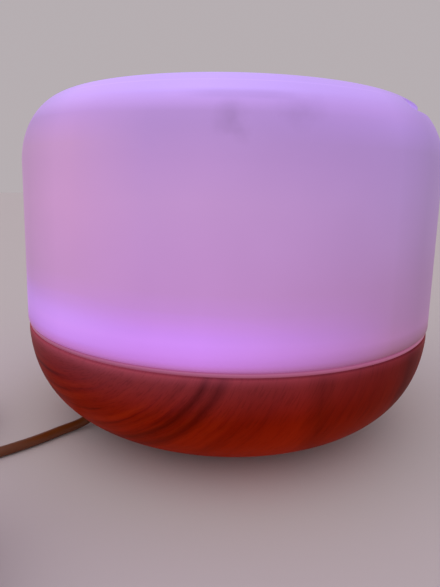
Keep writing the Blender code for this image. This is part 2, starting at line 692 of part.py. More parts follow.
def electronics(board, black, metal, copper):
    place("main_board", block((-27.0, 27.0), (5.0, 41.0), (BOARD_Z, BOARD_TOP_Z)), board)
    jack_end = RECESS_START_Y - RECESS_WALL - GAP
    jack = place("dc_jack", block((-4.6, 4.6), (5.5, jack_end), (PLATE_TOP_Z + GAP, BOARD_Z - GAP)), black)
    socket = turned([(0.8, 7.0), (3.1, 7.0), (3.1, 20.0), (0.8, 20.0)], 16)
    combine(jack, place("jack_socket", moved(aimed(socket, (0, 1, 0)), z=PLUG_Z)), "DIFFERENCE")
    on_board = BOARD_TOP_Z + GAP
    drum = [
        (0.0, 0.0), (6.0, 0.0), (6.0, 1.4), (4.6, 1.8), (4.6, 6.2), (6.0, 6.6), (6.0, 8.0), (0.0, 8.0),
    ]
    place("inductor", moved(turned(drum, 16, closed=False), -15.0, 28.0, on_board), copper)
    for k, (x, y, radius, tall) in enumerate(((8.0, 33.0, 4.0, 11.0), (18.0, 31.0, 3.2, 8.0)), 1):
        can = [(0.0, 0.0), (radius - 0.3, 0.0), (radius, 0.6)]
        can += [(radius, tall - 0.5), (radius - 0.5, tall), (0.0, tall)]
        place(f"capacitor_{k}", moved(turned(can, SMALL_STEPS, closed=False), x, y, on_board), metal)
    body = place("regulator", block((11.0, 21.0), (13.0, 17.4), (on_board, on_board + 9.0)), black)
    tab = block((11.0, 21.0), (16.1, 17.4), (on_board + 8, on_board + 15))
    combine(body, place("regulator_tab", tab), "UNION")
    place("control_chip", block((-8.0, 2.0), (11.0, 19.0), (on_board, on_board + 1.6)), black)


def button(name, x, mat):
    """A push button that slides inward along +Y, with a collar that keeps it in the shell."""
    face = -BUTTON_FACE_Y
    tip = -TACT_FRONT_Y + BUTTON_TRAVEL + 0.15
    profile = [
        (0.0, tip), (2.5, tip), (2.5, 73.0), (8.0, 73.0), (8.0, 74.4), (BUTTON_R, 74.4),
        (BUTTON_R, face - 1.0), (BUTTON_R - 1.0, face - 0.1), (0.0, face),
    ]
    axis = empty(f"{name}_axis", (x, BUTTON_FACE_Y, BUTTON_Z))
    shape = aimed(turned(profile, MEDIUM_STEPS, closed=False), (0, -1, 0))
    place(name, moved(shape, y=-BUTTON_FACE_Y), mat, axis)


def button_row(board, black, cap):
    back = BUTTON_BOARD_Y + 1.6
    place("button_board", block((-24.0, 24.0), (BUTTON_BOARD_Y, back), (18.5, 37.5)), board)
    for k, (x, name) in enumerate(((-BUTTON_X, "mist_button"), (BUTTON_X, "light_button")), 1):
        front = BUTTON_BOARD_Y - GAP
        body = block((x - 3, x + 3), (front - 3.4, front), (BUTTON_Z - 3, BUTTON_Z + 3))
        switch = place(f"tact_switch_{k}", body, black)
        stem = moved(aimed(rod(1.7, 64.0, -TACT_FRONT_Y, steps=SMALL_STEPS), (0, -1, 0)), x, 0.0, BUTTON_Z)
        combine(switch, place(f"tact_stem_{k}", stem), "UNION")
        button(name, x, cap)


def leads(mat):
    routes = {
        "transducer_lead": ((3.5, 0.5, 39.1), (4.0, 1.5, 34.0), (5.5, 6.0, 27.0), (6.0, 9.0, 20.5)),
        "fan_lead": ((12.0, 2.5, 12.5), (12.6, 6.0, 12.2), (13.0, 9.6, 14.2), (13.0, 10.6, 17.4)),
        "led_lead": ((-67.5, 20.0, 37.5), (-58.0, 27.0, 32.0), (-42.0, 32.0, 27.0), (-25.0, 31.0, 20.5)),
        "button_lead": (
            (20.0, -60.0, 30.0), (24.0, -52.0, 31.0), (27.0, -36.0, 30.0), (27.0, -12.0, 29.0),
            (24.0, 7.5, 20.5),
        ),
    }
    for name, route in routes.items():
        tube(name, route, 0.7, mat, spacing=5.0, resolution=1)


# ---------------------------------------------------------------- power cable and adapter


def plug(black, metal, cable_mat):
    sleeve = turned([(1.15, 7.4), (2.75, 7.4), (2.75, 18.1), (1.15, 18.1)], 16)
    place("plug_sleeve", moved(aimed(sleeve, (0, 1, 0)), z=PLUG_Z), metal)
    grip = [(0.0, 18.4), (4.0, 18.4), (4.4, 19.0), (4.4, 30.0), (3.6, 33.0), (0.0, 33.0)]
    place("dc_plug", moved(aimed(turned(grip, 16, closed=False), (0, 1, 0)), z=PLUG_Z), black)
    relief = [(0.0, 33.3), (3.3, 33.3), (2.4, 44.0), (0.0, 44.0)]
    place("plug_strain_relief", moved(aimed(turned(relief, 16, closed=False), (0, 1, 0)), z=PLUG_Z), black)
    tube("dc_cable", CABLE_ROUTE, CABLE_R, cable_mat, spacing=2.2 * 2 * CABLE_R)


def coil(mat, tie_mat):
    corner = 2.0
    profile = [
        (COIL_OUT_R - corner, COIL_TOP_Z), (COIL_OUT_R, COIL_TOP_Z - corner),
        (COIL_OUT_R, COIL_Z + corner / 2), (COIL_OUT_R - corner / 2, COIL_Z),
        (COIL_IN_R + corner / 2, COIL_Z), (COIL_IN_R, COIL_Z + corner / 2),
        (COIL_IN_R, COIL_TOP_Z - corner), (COIL_IN_R + corner, COIL_TOP_Z),
    ]
    place("cable_coil", moved(turned(profile, 28), *COIL_CENTRE), mat)
    around = 1.1
    rings = []
    for along, spare in ((-4.0, TIE_THICK), (4.0, TIE_THICK), (4.0, 0.0), (-4.0, 0.0)):
        low, high = COIL_IN_R - around - spare, COIL_OUT_R + around + spare
        bottom, top = TIE_THICK - spare, COIL_TOP_Z + GAP + spare
        ring = []
        for out, z in ((low, bottom), (high, bottom), (high, top), (low, top)):
            x = COIL_CENTRE[0] + out * math.cos(TIE_ANGLE) - along * math.sin(TIE_ANGLE)
            y = COIL_CENTRE[1] + out * math.sin(TIE_ANGLE) + along * math.cos(TIE_ANGLE)
            ring.append((x, y, z))
        rings.append(ring)
    place("coil_tie", ring_solid(rings), tie_mat)


def adapter(black, metal, cable_mat):
    tube("adapter_lead", LEAD_ROUTE, CABLE_R, cable_mat, spacing=2 * 2 * CABLE_R)
    y, z = LEAD_ROUTE[-1][1:]
    relief = [(0.0, -RELIEF_TIP_X), (2.4, -RELIEF_TIP_X), (4.0, -RELIEF_FOOT_X), (0.0, -RELIEF_FOOT_X)]
    shape = moved(aimed(turned(relief, 16, closed=False), (-1, 0, 0)), y=y, z=z)
    place("adapter_strain_relief", shape, black)
    (cx, cy), (long, wide, tall) = ADAPTER_CENTRE, ADAPTER_SIZE
    box = block((cx - long / 2, cx + long / 2), (cy - wide / 2, cy + wide / 2), (0.0, tall))
    case = rounded(place("adapter_case", box, black), 2.5)
    blades, slots = [], []
    for side in (-1, 1):
        mid = cy + side * PRONG_SPACING / 2
        x = (cx - 3.2, cx + 3.2)
        blades.append(block(x, (mid - 0.75, mid + 0.75), (tall - 2.0 + GAP, tall + 16.5)))
        grown = (x[0] - GAP, x[1] + GAP)
        slots.append(block(grown, (mid - 0.75 - GAP, mid + 0.75 + GAP), (tall - 2.0, tall + 5)))
    combine(case, place("prong_slots", merged(*slots)), "DIFFERENCE")
    for k, blade in enumerate(blades, 1):
        place(f"adapter_prong_{k}", blade, metal)


def build():
    clear_scene()
    white = material("white_plastic", WHITE, 0.45)
    frosted = material("frosted_cover", (0.92, 0.88, 0.94), 0.5)
    wood = material("wood_grain_plastic", WOOD, 0.35)
    under = material("brown_plastic", (0.16, 0.06, 0.04), 0.5)
    black = material("black_plastic", DARK, 0.5)
    rubber = material("dark_rubber", (0.08, 0.08, 0.08), 0.8)
    silicone = material("silicone", (0.75, 0.75, 0.73), 0.6)
    board = material("circuit_board", GREEN, 0.4)
    steel = material("steel", STEEL, 0.3, 1.0)
    copper = material("copper", (0.7, 0.35, 0.2), 0.4, 1.0)
    lens = material("led_lens", (0.85, 0.8, 0.95), 0.2)
    cable = material("cable_jacket", (0.2, 0.11, 0.05), 0.5)
    top_cover(frosted)
    mist_hood(white)
    water_tank(white)
    air_pipe(white)
    transducer(steel, silicone, white)
    lights(frosted, board, lens)
    fan_frame(black)
    fan_rotor(black)
    air_duct(white)
    fan_screws(steel)
    base_shell(wood)
    bottom_plate(under)
    feet_and_screws(rubber, steel)
    electronics(board, black, steel, copper)
    button_row(board, black, wood)
    leads(black)
    plug(black, steel, cable)
    coil(cable, rubber)
    adapter(black, steel, cable)


build()
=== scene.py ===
"""Looks of an ultrasonic essential oil diffuser with its light on: a frosted cover that glows lavender over a
wood-grain bowl, with its tank, hood, buttons, feet, power cable and wall adapter.

Lengths are millimetres in the part's own frame, and MM turns them into metres. Colours are sRGB, 0 to 255.
"""

import math

import bmesh
import bpy
from mathutils import Matrix, Vector


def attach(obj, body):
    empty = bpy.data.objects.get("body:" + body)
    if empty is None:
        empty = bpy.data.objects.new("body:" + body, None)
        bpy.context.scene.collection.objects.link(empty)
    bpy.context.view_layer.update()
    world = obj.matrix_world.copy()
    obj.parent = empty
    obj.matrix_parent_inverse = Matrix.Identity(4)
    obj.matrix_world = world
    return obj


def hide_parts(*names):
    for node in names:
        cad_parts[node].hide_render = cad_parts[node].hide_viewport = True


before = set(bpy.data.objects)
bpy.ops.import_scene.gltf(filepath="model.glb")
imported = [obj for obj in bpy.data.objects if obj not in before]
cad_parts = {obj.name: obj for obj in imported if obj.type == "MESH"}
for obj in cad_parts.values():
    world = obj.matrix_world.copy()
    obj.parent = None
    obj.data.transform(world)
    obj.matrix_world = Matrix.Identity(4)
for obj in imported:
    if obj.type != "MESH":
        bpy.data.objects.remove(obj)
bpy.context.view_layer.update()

MM = 0.001

# Facets round turned pieces, from the cover down to screw holes
COVER_STEPS = 300
FINE_STEPS = 192
ROUND_STEPS = 96
PIPE_STEPS = 64
BUTTON_STEPS = 48
SMALL_STEPS = 32
HOLE_STEPS = 16

SHARP = 35.0  # degrees; edges that turn more than this stay crisp
STRAIGHT = 12.0  # degrees; corners that turn less than this aren't rounded
GAP = 0.3  # play round parts that sit in a hole

# Camera
CAMERA_PLACE = (-184.8, 106.7, 99.6)
CAMERA_HEADING = -29.08  # degrees from +X, on the table's plane
CAMERA_DROP = 12.89
CAMERA_ROLL = 1.32
CAMERA_LENS = 29.13

# Power cable: the stretch that lies free, then its coil, then the lead into the adapter
CABLE_R = 1.9
CABLE_EXIT = (0.0, 44.3, 11.0)
CABLE_ROUTE = (
    CABLE_EXIT, (0.0, 49.0, 10.7), (-0.1, 55.0, 9.0), (-0.4, 61.0, 5.8), (-1.0, 68.4, 2.7),
    (-2.9, 77.5, 1.95), (-5.8, 86.0, 1.95), (-7.6, 93.0, 1.95), (-8.9, 100.0, 1.95),
    (-10.0, 110.0, 1.95), (-10.8, 122.0, 1.95), (-11.1, 136.5, 1.95),
)
LEAD_ROUTE = (
    (-6.0, 119.9, 6.2), (-8.9, 124.9, 6.2), (-11.7, 129.7, 6.2), (-17.7, 135.7, 6.3),
    (-26.0, 138.0, 6.4), (-30.2, 138.0, 6.5), (-34.3, 138.0, 6.5),
)
COIL_CENTRE = (25.4, 138.0)
COIL_JOIN_R = 36.5  # where the cable meets the coil and leaves it
COIL_OUT_R = 31.3  # middle of the outermost turn
COIL_IN_R = 13.3  # middle of the innermost turn
COIL_LOW_Z = 2.7
COIL_HIGH_Z = 6.45
COIL_START = 182.4  # degrees; the cable winds clockwise from above
COIL_TURNS = 9.92
COIL_ENTRY = 0.25  # turns taken from the join to the outermost turn
COIL_LIFT = 0.5  # turns taken to climb to the upper layer
COIL_STEPS = 30  # points for each turn

# Cover
COVER_RIM_Z = 46.6
COVER_RIM_R = 85.45
WALL_TOP_Z = 105.3
WALL_TOP_R = 84.0
SHOULDER_ACROSS = 20.2
SHOULDER_UP = 26.1
CROWN_SLOPE = 0.15
COVER_WALL = 2.0
MIST_HOLE_R = 8.0
RIM_ROUND = 0.9
DISH_HEADING = math.radians(-118.0)
DISH_END_R = 19.0
DISH_WIDENING = 0.08
DISH_EDGE = 3.5
DISH_DEPTHS = ((-30.0, 5.5), (15.0, 5.5), (66.0, 4.6), (75.0, 2.6), (82.0, 0.0))  # (distance out, depth)
DISH_BLUR = (-4.0, -2.0, 0.0, 2.0, 4.0)  # depths are averaged over these shifts
DISH_BACK = -20.0  # behind here the depth no longer changes
DISH_BEND = (45.0, 20.0)  # where distances begin to be taken down the shoulder, and how soon they all are
STEP_R = 73.5  # wall of the crescent step where the dish opens on the shoulder
STEP_BLUR = 0.3
STEP_FLOOR_Z = 124.4
STEP_REACH = math.radians(41.0)
STEP_FADE = math.radians(3.5)
FLARE_REACH = math.radians(21.0)  # the dish's sides flare into the step as far as this
FLARE_FALL = 90.0  # how fast the flare closes beyond that, for each radian
FLARE_ROUND = 16.0

# Bowl
BASE_TOP_Z = 44.4
BASE_TOP_R = 85.2
BASE_FLOOR_Z = 3.0
BASE_FLOOR_R = 44.0
BASE_WALL = 2.2
BOWL_DROP = 25.0
BOWL_SPREAD = 26.0
LEDGE_R = 37.0
LEDGE_Z = 6.3
LEDGE_TOP_Z = 8.3

# Fixings and openings underneath
BOSS_RADIUS = 40.5
BOSS_ANGLES = (30.0, 150.0, 210.0, 330.0)
FOOT_RADIUS = 36.0
FOOT_ANGLES = (60.0, 120.0, 240.0, 300.0)
FOOT_R = 6.0
FOOT_RECESS_Z = 4.0
FAN_Y = -18.0
FAN_POSTS = ((-16.0, -2.0), (16.0, -2.0))
SCREW_HOLE_R = 1.85
PLUG_Z = 11.0

# Tank
PIPE_Y = -30.0
PIPE_R = 8.6
PIPE_BORE_R = 6.6
PIPE_TOP_Z = 100.0
PIPE_FOOT_Z = 30.0
FLANGE_R = 9.6
FLANGE_TOP_Z = 44.1
FLANGE_THICK = 1.5
LED_RADIUS = 73.0
LED_ANGLES = (0.0, 60.0, 120.0, 180.0, 240.0, 300.0)
CLAMP_RADIUS = 17.5
CLAMP_ANGLES = (30.0, 150.0, 270.0)
TANK_POSTS = (  # (radius, bottom, top, distance from the middle, angles)
    (4.0, 8.6, 46.0, BOSS_RADIUS, BOSS_ANGLES),
    (2.6, 38.0, 44.9, CLAMP_RADIUS, CLAMP_ANGLES),
    (2.2, 40.4, 45.7, LED_RADIUS, CLAMP_ANGLES),
)
TANK_HOLES = (  # (radius, bottom, top, distance from the middle, angles, facets)
    (SCREW_HOLE_R, 0.0, 22.0, BOSS_RADIUS, BOSS_ANGLES, HOLE_STEPS),
    (1.4, 30.0, 43.3, CLAMP_RADIUS, CLAMP_ANGLES, HOLE_STEPS),
    (3.6, 42.0, 50.0, LED_RADIUS, LED_ANGLES, SMALL_STEPS),
)

# Buttons
BUTTON_X = 14.0
BUTTON_Z = 28.5
BUTTON_R = 6.5
BUTTON_PROUD = 0.8  # how far the cap stands out of the bowl
BUTTON_FACE = 83.0  # distance of the face from the middle, before it follows the bowl
BUTTON_BEND = 79.0  # beyond here the cap follows the bowl
BUTTON_MARKS = {  # raised marks, as (distance from the cap's middle, height over its face)
    "ring": ((2.9, 0.0), (2.7, 0.25), (2.3, 0.35), (1.9, 0.25), (1.7, 0.0), (0.8, 0.0), (0.0, 0.0)),
    "dot": ((2.4, 0.0), (1.6, 0.0), (1.35, 0.25), (0.8, 0.42), (0.4, 0.48), (0.0, 0.5)),
}

# Strap round the coil, and adapter
TIE_ANGLE = 15.0  # degrees
RELIEF_TIP_X = -34.6
RELIEF_FOOT_X = -44.7
ADAPTER_CENTRE = (-70.0, 138.0)
ADAPTER_SIZE = (50.0, 40.0, 27.0)
PRONG_SPACING = 12.7


# ---- shapes


def mm(*lengths):
    """Millimetres as metres."""
    return [length * MM for length in lengths]


def added(name, data):
    thing = bpy.data.objects.new(name, data)
    bpy.context.scene.collection.objects.link(thing)
    return thing


def place(name, bm, mat, sharp=SHARP):
    """Turn a bmesh into a named piece, smooth except across sharp edges."""
    bmesh.ops.recalc_face_normals(bm, faces=bm.faces)
    mesh = bpy.data.meshes.new(name)
    bm.to_mesh(mesh)
    bm.free()
    mesh.shade_smooth()
    mesh.set_sharp_from_angle(angle=math.radians(sharp))
    if mat:
        mesh.materials.append(mat)
    return added(name, mesh)


def fit(piece, slot, *nodes, body="base"):
    """Make a piece ride on its body and hide the CAD nodes that it stands for. The slot is not used."""
    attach(piece, body)
    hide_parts(*nodes)
    return piece


def rounded_profile(profile, radius, steps, closed=True):
    """Replace each corner of an outline with a short curve that keeps within a third of its edges."""
    points = [Vector(p) for p in profile]
    count = len(points)
    out = []
    for k, corner in enumerate(points):
        loose_end = not closed and k in (0, count - 1)
        before = points[k - 1] - corner
        after = points[(k + 1) % count] - corner
        if loose_end or math.pi - before.angle(after) < math.radians(STRAIGHT):
            out.append(corner)
            continue
        reach = min(radius, before.length / 3, after.length / 3)
        start = corner + before.normalized() * reach
        end = corner + after.normalized() * reach
        for step in range(steps + 1):
            t = step / steps
            out.append(start * (1 - t) ** 2 + corner * 2 * t * (1 - t) + end * t * t)
    return out


def turned(profile, steps):
    """Spin (radius, height) points round the Z axis: a closed outline, or a line from the axis back to it."""
    bm = bmesh.new()
    verts = [bm.verts.new((r * MM, 0.0, z * MM)) for r, z in profile]
    following = verts[1:] + verts[:1] if profile[0][0] else verts[1:]
    edges = [bm.edges.new(pair) for pair in zip(verts, following)]
    bmesh.ops.spin(
        bm, geom=verts + edges, cent=(0, 0, 0), axis=(0, 0, 1), angle=math.tau, steps=steps, use_merge=True
    )
    bmesh.ops.remove_doubles(bm, verts=bm.verts, dist=1e-6)
    bmesh.ops.dissolve_degenerate(bm, edges=bm.edges, dist=1e-7)
    return bm


def spun(profile, rounding, steps, corner_steps=3):
    """Round the corners of a profile and spin it."""
    return turned(rounded_profile(profile, rounding, corner_steps, closed=profile[0][0] > 0), steps)


def moved(bm, x=0.0, y=0.0, z=0.0):
    bmesh.ops.translate(bm, verts=bm.verts, vec=Vector((x, y, z)) * MM)
    return bm


def aimed(bm, axis):
    """Swing a shape made along +Z so that it runs along another axis."""
    swing = Vector((0, 0, 1)).rotation_difference(Vector(axis)).to_matrix()
    bmesh.ops.rotate(bm, verts=bm.verts, cent=(0, 0, 0), matrix=swing)
    return bm


def rod(radius, low, high, x=0.0, y=0.0, steps=SMALL_STEPS):
    profile = [(0.0, low), (radius, low), (radius, high), (0.0, high)]
    return moved(turned(profile, steps), x, y)


def rods(radius, low, high, out, angles, steps=SMALL_STEPS):
    """Upright rods, all at one distance from the middle."""
    return [rod(radius, low, high, *polar(out, angle), steps) for angle in angles]


def block(*spans):
    """A box from (low, high) pairs along each axis."""
    bm = bmesh.new()
    bmesh.ops.create_cube(bm, size=1.0)
    size = Vector([high - low for low, high in spans]) * MM
    centre = Vector([low + high for low, high in spans]) * MM / 2
    bmesh.ops.scale(bm, vec=size, verts=bm.verts)
    bmesh.ops.translate(bm, vec=centre, verts=bm.verts)
    return bm


def side_prism(outline, half_width):
    """Extrude a (y, z) outline along X, centred on the YZ plane."""
    bm = bmesh.new()
    base = bm.faces.new([bm.verts.new((-half_width * MM, y * MM, z * MM)) for y, z in outline])
    made = bmesh.ops.extrude_face_region(bm, geom=[base])
    new = [item for item in made["geom"] if isinstance(item, bmesh.types.BMVert)]
    bmesh.ops.translate(bm, verts=new, vec=(2 * half_width * MM, 0, 0))
    return bm


def lofted(rings, closed=False):
    """Join rings of points into a skin; an open stack is capped at both ends."""
    bm = bmesh.new()
    rows = [[bm.verts.new(Vector(p) * MM) for p in ring] for ring in rings]
    count = len(rows[0])
    following = rows[1:] + rows[:1] if closed else rows[1:]
    for row, after in zip(rows, following):
        for k in range(count):
            bm.faces.new((row[k], row[(k + 1) % count], after[(k + 1) % count], after[k]))
    if not closed:
        bm.faces.new(rows[0])
        bm.faces.new(rows[-1])
    return bm


def merged(shapes):
    """One bmesh holding several separate closed shapes."""
    whole = bmesh.new()
    for shape in shapes:
        mesh = bpy.data.meshes.new("shape")
        shape.to_mesh(mesh)
        shape.free()
        whole.from_mesh(mesh)
        bpy.data.meshes.remove(mesh)
    return whole


def carve(piece, shapes, operation="DIFFERENCE"):
    """Cut shapes out of a piece, or join them to it, and keep the result as its mesh."""
    helper = place("helper", merged(shapes), None)
    step = piece.modifiers.new("carve", "BOOLEAN")
    step.operation = operation
    step.solver = "EXACT"
    step.object = helper
    graph = bpy.context.evaluated_depsgraph_get()
    result = bpy.data.meshes.new_from_object(piece.evaluated_get(graph))
    piece.modifiers.clear()
    piece.data = result
    bpy.data.objects.remove(helper, do_unlink=True)
    result.set_sharp_from_angle(angle=math.radians(SHARP))


def polar(radius, degrees):
    angle = math.radians(degrees)
    return radius * math.cos(angle), radius * math.sin(angle)


def bezier(start, first, second, end, steps):
    points = []
    for k in range(steps + 1):
        t = k / steps
        u = 1 - t
        weights = (u**3, 3 * u * u * t, 3 * u * t * t, t**3)
        pulls = list(zip(weights, (start, first, second, end)))
        points.append(tuple(sum(weight * point[axis] for weight, point in pulls) for axis in (0, 1)))
    return points


def smooth_step(value):
    t = min(max(value, 0.0), 1.0)
    return t * t * (3 - 2 * t)


# ---- materials


def srgb(red, green, blue):
    def linear(value):
        share = value / 255
        return share / 12.92 if share <= 0.04045 else ((share + 0.055) / 1.055) ** 2.4

    return (linear(red), linear(green), linear(blue), 1.0)


class Look:
    """A material's node graph, with short ways to add the nodes used here."""

    def __init__(self, name, roughness, metallic=0.0):
        self.mat = bpy.data.materials.new(name)
        self.mat.use_nodes = True
        self.nodes = self.mat.node_tree.nodes
        self.links = self.mat.node_tree.links
        self.shader = self.nodes["Principled BSDF"]
        self.set("Roughness", roughness)
        self.set("Metallic", metallic)
        self.place = self.node("TexCoord").outputs["Object"]

    def set(self, name, value):
        """Give a shader input a fixed value, or link it to a node's output."""
        self.feed(self.shader.inputs[name], value)

    def glow(self, colour, light, strength):
        """Set the base colour, the colour of the light given off and its strength."""
        self.set("Base Color", colour)
        self.set("Emission Color", light)
        self.set("Emission Strength", strength)

    def feed(self, socket, value):
        if isinstance(value, bpy.types.NodeSocket):
            self.links.new(value, socket)
        else:
            socket.default_value = value

    def node(self, kind, *values, **settings):
        """Add a node with its settings, and feed its first inputs."""
        node = self.nodes.new("ShaderNode" + kind)
        for name, setting in settings.items():
            setattr(node, name, setting)
        for socket, value in zip(node.inputs, values):
            self.feed(socket, value)
        return node

    def maths(self, operation, *values):
        return self.node("Math", *values, operation=operation).outputs[0]

    def times(self, value, *factors):
        for factor in factors:
            value = self.maths("MULTIPLY", value, factor)
        return value

    def plus(self, first, second):
        return self.maths("ADD", first, second)

    def minus(self, first, second):
        return self.maths("SUBTRACT", first, second)

    def times_plus(self, first, second, third):
        return self.maths("MULTIPLY_ADD", first, second, third)

    def length(self, x, y):
        return self.maths("SQRT", self.times_plus(x, x, self.times(y, y)))

    def split(self, vector):
        return self.node("SeparateXYZ", vector).outputs

    def join(self, x, y, z):
        return self.node("CombineXYZ", x, y, z).outputs[0]

    def noise(self, scale, detail=2.0, vector=None):
        """Noise with so many features to the metre, or to each unit of another vector."""
        vector = self.place if vector is None else vector
        return self.node("TexNoise", vector, 0.0, scale, detail).outputs["Fac"]

    def between(self, value, low, high, to_low=0.0, to_high=1.0):
        return self.node("MapRange", value, low, high, to_low, to_high).outputs[0]

    def cloud(self, scale, low, high, detail=2.0, span=(0.3, 0.7)):
        """Soft noise, stretched so that a span of it runs from low to high."""
        return self.between(self.noise(scale, detail), *span, low, high)

    def ramp(self, share, stops, first=0.0, last=1.0):
        """Colours by a share of the way from the first place to the last; stops are (place, colour)."""
        node = self.node("ValToRGB", share)
        elements = node.color_ramp.elements
        while len(elements) < len(stops):
            elements.new(0.5)
        for element, (at, colour) in zip(elements, stops):
            element.position = (at - first) / (last - first)
            element.color = colour
        return node.outputs[0]

    def mix(self, share, first, second, blend="MIX"):
        node = self.node("Mix", data_type="RGBA", blend_type=blend)
        for index, value in ((0, share), (6, first), (7, second)):
            self.feed(node.inputs[index], value)
        return node.outputs[2]

    def shaded(self, colour, shade):
        return self.mix(1.0, colour, self.join(shade, shade, shade), "MULTIPLY")

    def bump(self, height, strength, distance):
        node = self.node("Bump", strength, distance * MM)
        self.feed(node.inputs["Height"], height)
        self.set("Normal", node.outputs[0])


# The glow on the cover, as (height above its rim, red, green, blue)
GLOW_TOP = 88.0
MIDDLE_HEADING = 137.0  # degrees; turns are measured from here
LEFT_TURNS = (-3.0, -22.0)
RIGHT_TURNS = (8.0, 52.0)
BACK_TURNS = (-100.0, -160.0)
LEFT_GLOW = (
    (0.0, 176, 108, 172), (1.2, 196, 124, 206), (4.0, 206, 143, 246), (8.0, 212, 152, 255),
    (11.5, 208, 151, 251), (15.5, 202, 147, 230), (19.5, 199, 146, 212), (25.0, 197, 147, 203),
    (46.0, 200, 151, 203), (64.0, 193, 148, 199), (69.0, 190, 146, 207), (73.0, 186, 145, 214),
    (77.0, 199, 161, 242), (80.0, 203, 168, 254), (88.0, 200, 168, 254),
)
MIDDLE_GLOW = (
    (0.0, 182, 108, 170), (2.2, 200, 130, 226), (4.5, 205, 138, 240), (8.3, 208, 144, 250),
    (10.6, 204, 142, 244), (13.5, 201, 141, 232), (17.5, 194, 140, 214), (23.0, 191, 141, 204),
    (48.0, 190, 147, 205), (60.0, 182, 142, 204), (69.0, 175, 138, 204), (72.0, 175, 138, 206),
    (74.8, 189, 151, 229), (77.0, 191, 156, 238), (78.6, 198, 167, 254), (88.0, 197, 168, 255),
)
FAR_GLOW = (
    (0.0, 134, 76, 98), (2.5, 157, 106, 144), (6.0, 172, 122, 172), (12.0, 168, 124, 173),
    (24.0, 167, 127, 177), (36.0, 169, 133, 187), (50.0, 169, 136, 194), (64.0, 166, 134, 197),
    (70.0, 173, 139, 213), (74.5, 180, 144, 222), (80.0, 188, 154, 238), (88.0, 189, 157, 242),
)
GLOW_SHARE = 0.42  # share of the cover's brightness that it gives off itself
SHADE_SPOTS = (  # (place, radius, shade)
    ((-70.5, 41.2, 117.3), 6.0, 0.88),
    ((-72.7, 39.6, 113.8), 4.0, 0.93),
    ((-77.0, 25.2, 119.0), 6.0, 0.92),
    ((-77.8, 19.2, 120.6), 5.0, 0.95),
)
RAGGED = 4.0  # how far their edges stray
# Painted shadow of the tank's rim, which stands inside the cover: (heights where one begins and ends, turn,
# reach, share)
DIM_BANDS = (
    ((104.6, 113.6), (121.6, 123.1), 12.0, (8.0, 34.0), 0.05),
    ((121.8, 122.8), (124.0, 125.2), 15.0, (6.0, 13.0), 0.09),
)
DIM_SIDES = (  # (turns where the cover dims, where it recovers): painted shade towards the cover's sides, where the surface turns away
    ((50.0, 63.0), (80.0, 115.0)),
    ((-27.0, -42.0), (-70.0, -100.0)),
)
DIM_SIDES_SHARE = 0.17
STEP_GLOW = 0.34  # extra light through the wall of the crescent step
STEP_GLOW_BAND = 0.7  # it reaches this far to either side of the wall
STEP_GLOW_Z = (128.0, 127.0)
STEP_GLOW_TURNS = (82.0, 96.0)  # it fades out towards the buttons


def cover_look():
    look = Look("lit_frosted_cover", 0.42)
    x, y, z = look.split(look.place)
    height = look.between(z, *mm(COVER_RIM_Z, COVER_RIM_Z + GLOW_TOP))
    left, glow, far = (
        look.ramp(height, [(up, srgb(*colour)) for up, *colour in stops], last=GLOW_TOP)
        for stops in (LEFT_GLOW, MIDDLE_GLOW, FAR_GLOW)
    )
    cos, sin = polar(1.0, MIDDLE_HEADING)
    ahead = look.times_plus(y, sin, look.times(x, cos))
    aside = look.times_plus(x, -sin, look.times(y, cos))
    turn = look.maths("DEGREES", look.maths("ARCTAN2", aside, ahead))
    for turns, other in ((LEFT_TURNS, left), (RIGHT_TURNS, far), (BACK_TURNS, far)):
        glow = look.mix(look.between(turn, *turns), glow, other)
    shade = look.cloud(24.0, 0.97, 1.02)
    stray = look.cloud(160.0, *mm(-RAGGED / 2, RAGGED / 2), span=(0.25, 0.75))
    for at, radius, dim in SHADE_SPOTS:
        away = look.node("VectorMath", look.place, mm(*at), operation="DISTANCE").outputs["Value"]
        away = look.plus(away, stray)
        shade = look.times(shade, look.between(away, 0.0, radius * MM, dim, 1.0))
    for low, high, aim, reach, share in DIM_BANDS:
        band = look.times(look.between(z, *mm(*low)), look.between(z, *mm(*high), 1.0, 0.0))
        away = look.maths("ABSOLUTE", look.minus(turn, aim))
        shade = look.minus(shade, look.times(band, look.between(away, *reach, share, 0.0)))
    for start, end in DIM_SIDES:
        side = look.times(look.between(turn, *start), look.between(turn, *end, 1.0, 0.0))
        shade = look.times_plus(side, -DIM_SIDES_SHARE, shade)
    step = look.maths("COMPARE", look.length(x, y), *mm(STEP_R, STEP_GLOW_BAND))
    step = look.times(step, look.between(z, *mm(*STEP_GLOW_Z)))
    step = look.times(step, look.between(turn, *STEP_GLOW_TURNS, 1.0, 0.0))
    glow = look.shaded(glow, look.times_plus(step, STEP_GLOW, shade))
    look.glow(glow, glow, GLOW_SHARE)
    look.set("Specular IOR Level", 0.3)
    look.bump(look.noise(2600.0), 0.06, 0.1)
    return look.mat


# The grain runs round a point up and to one side, so it sweeps from level to steep across the bowl
GRAIN_ACROSS = Vector((-0.5, -0.866))
GRAIN_CENTRE = (-62.5, 71.5)
GRAIN_SQUEEZE = 0.45  # distances to the far side of the centre count for this much
GRAIN_WAVER = 2.0
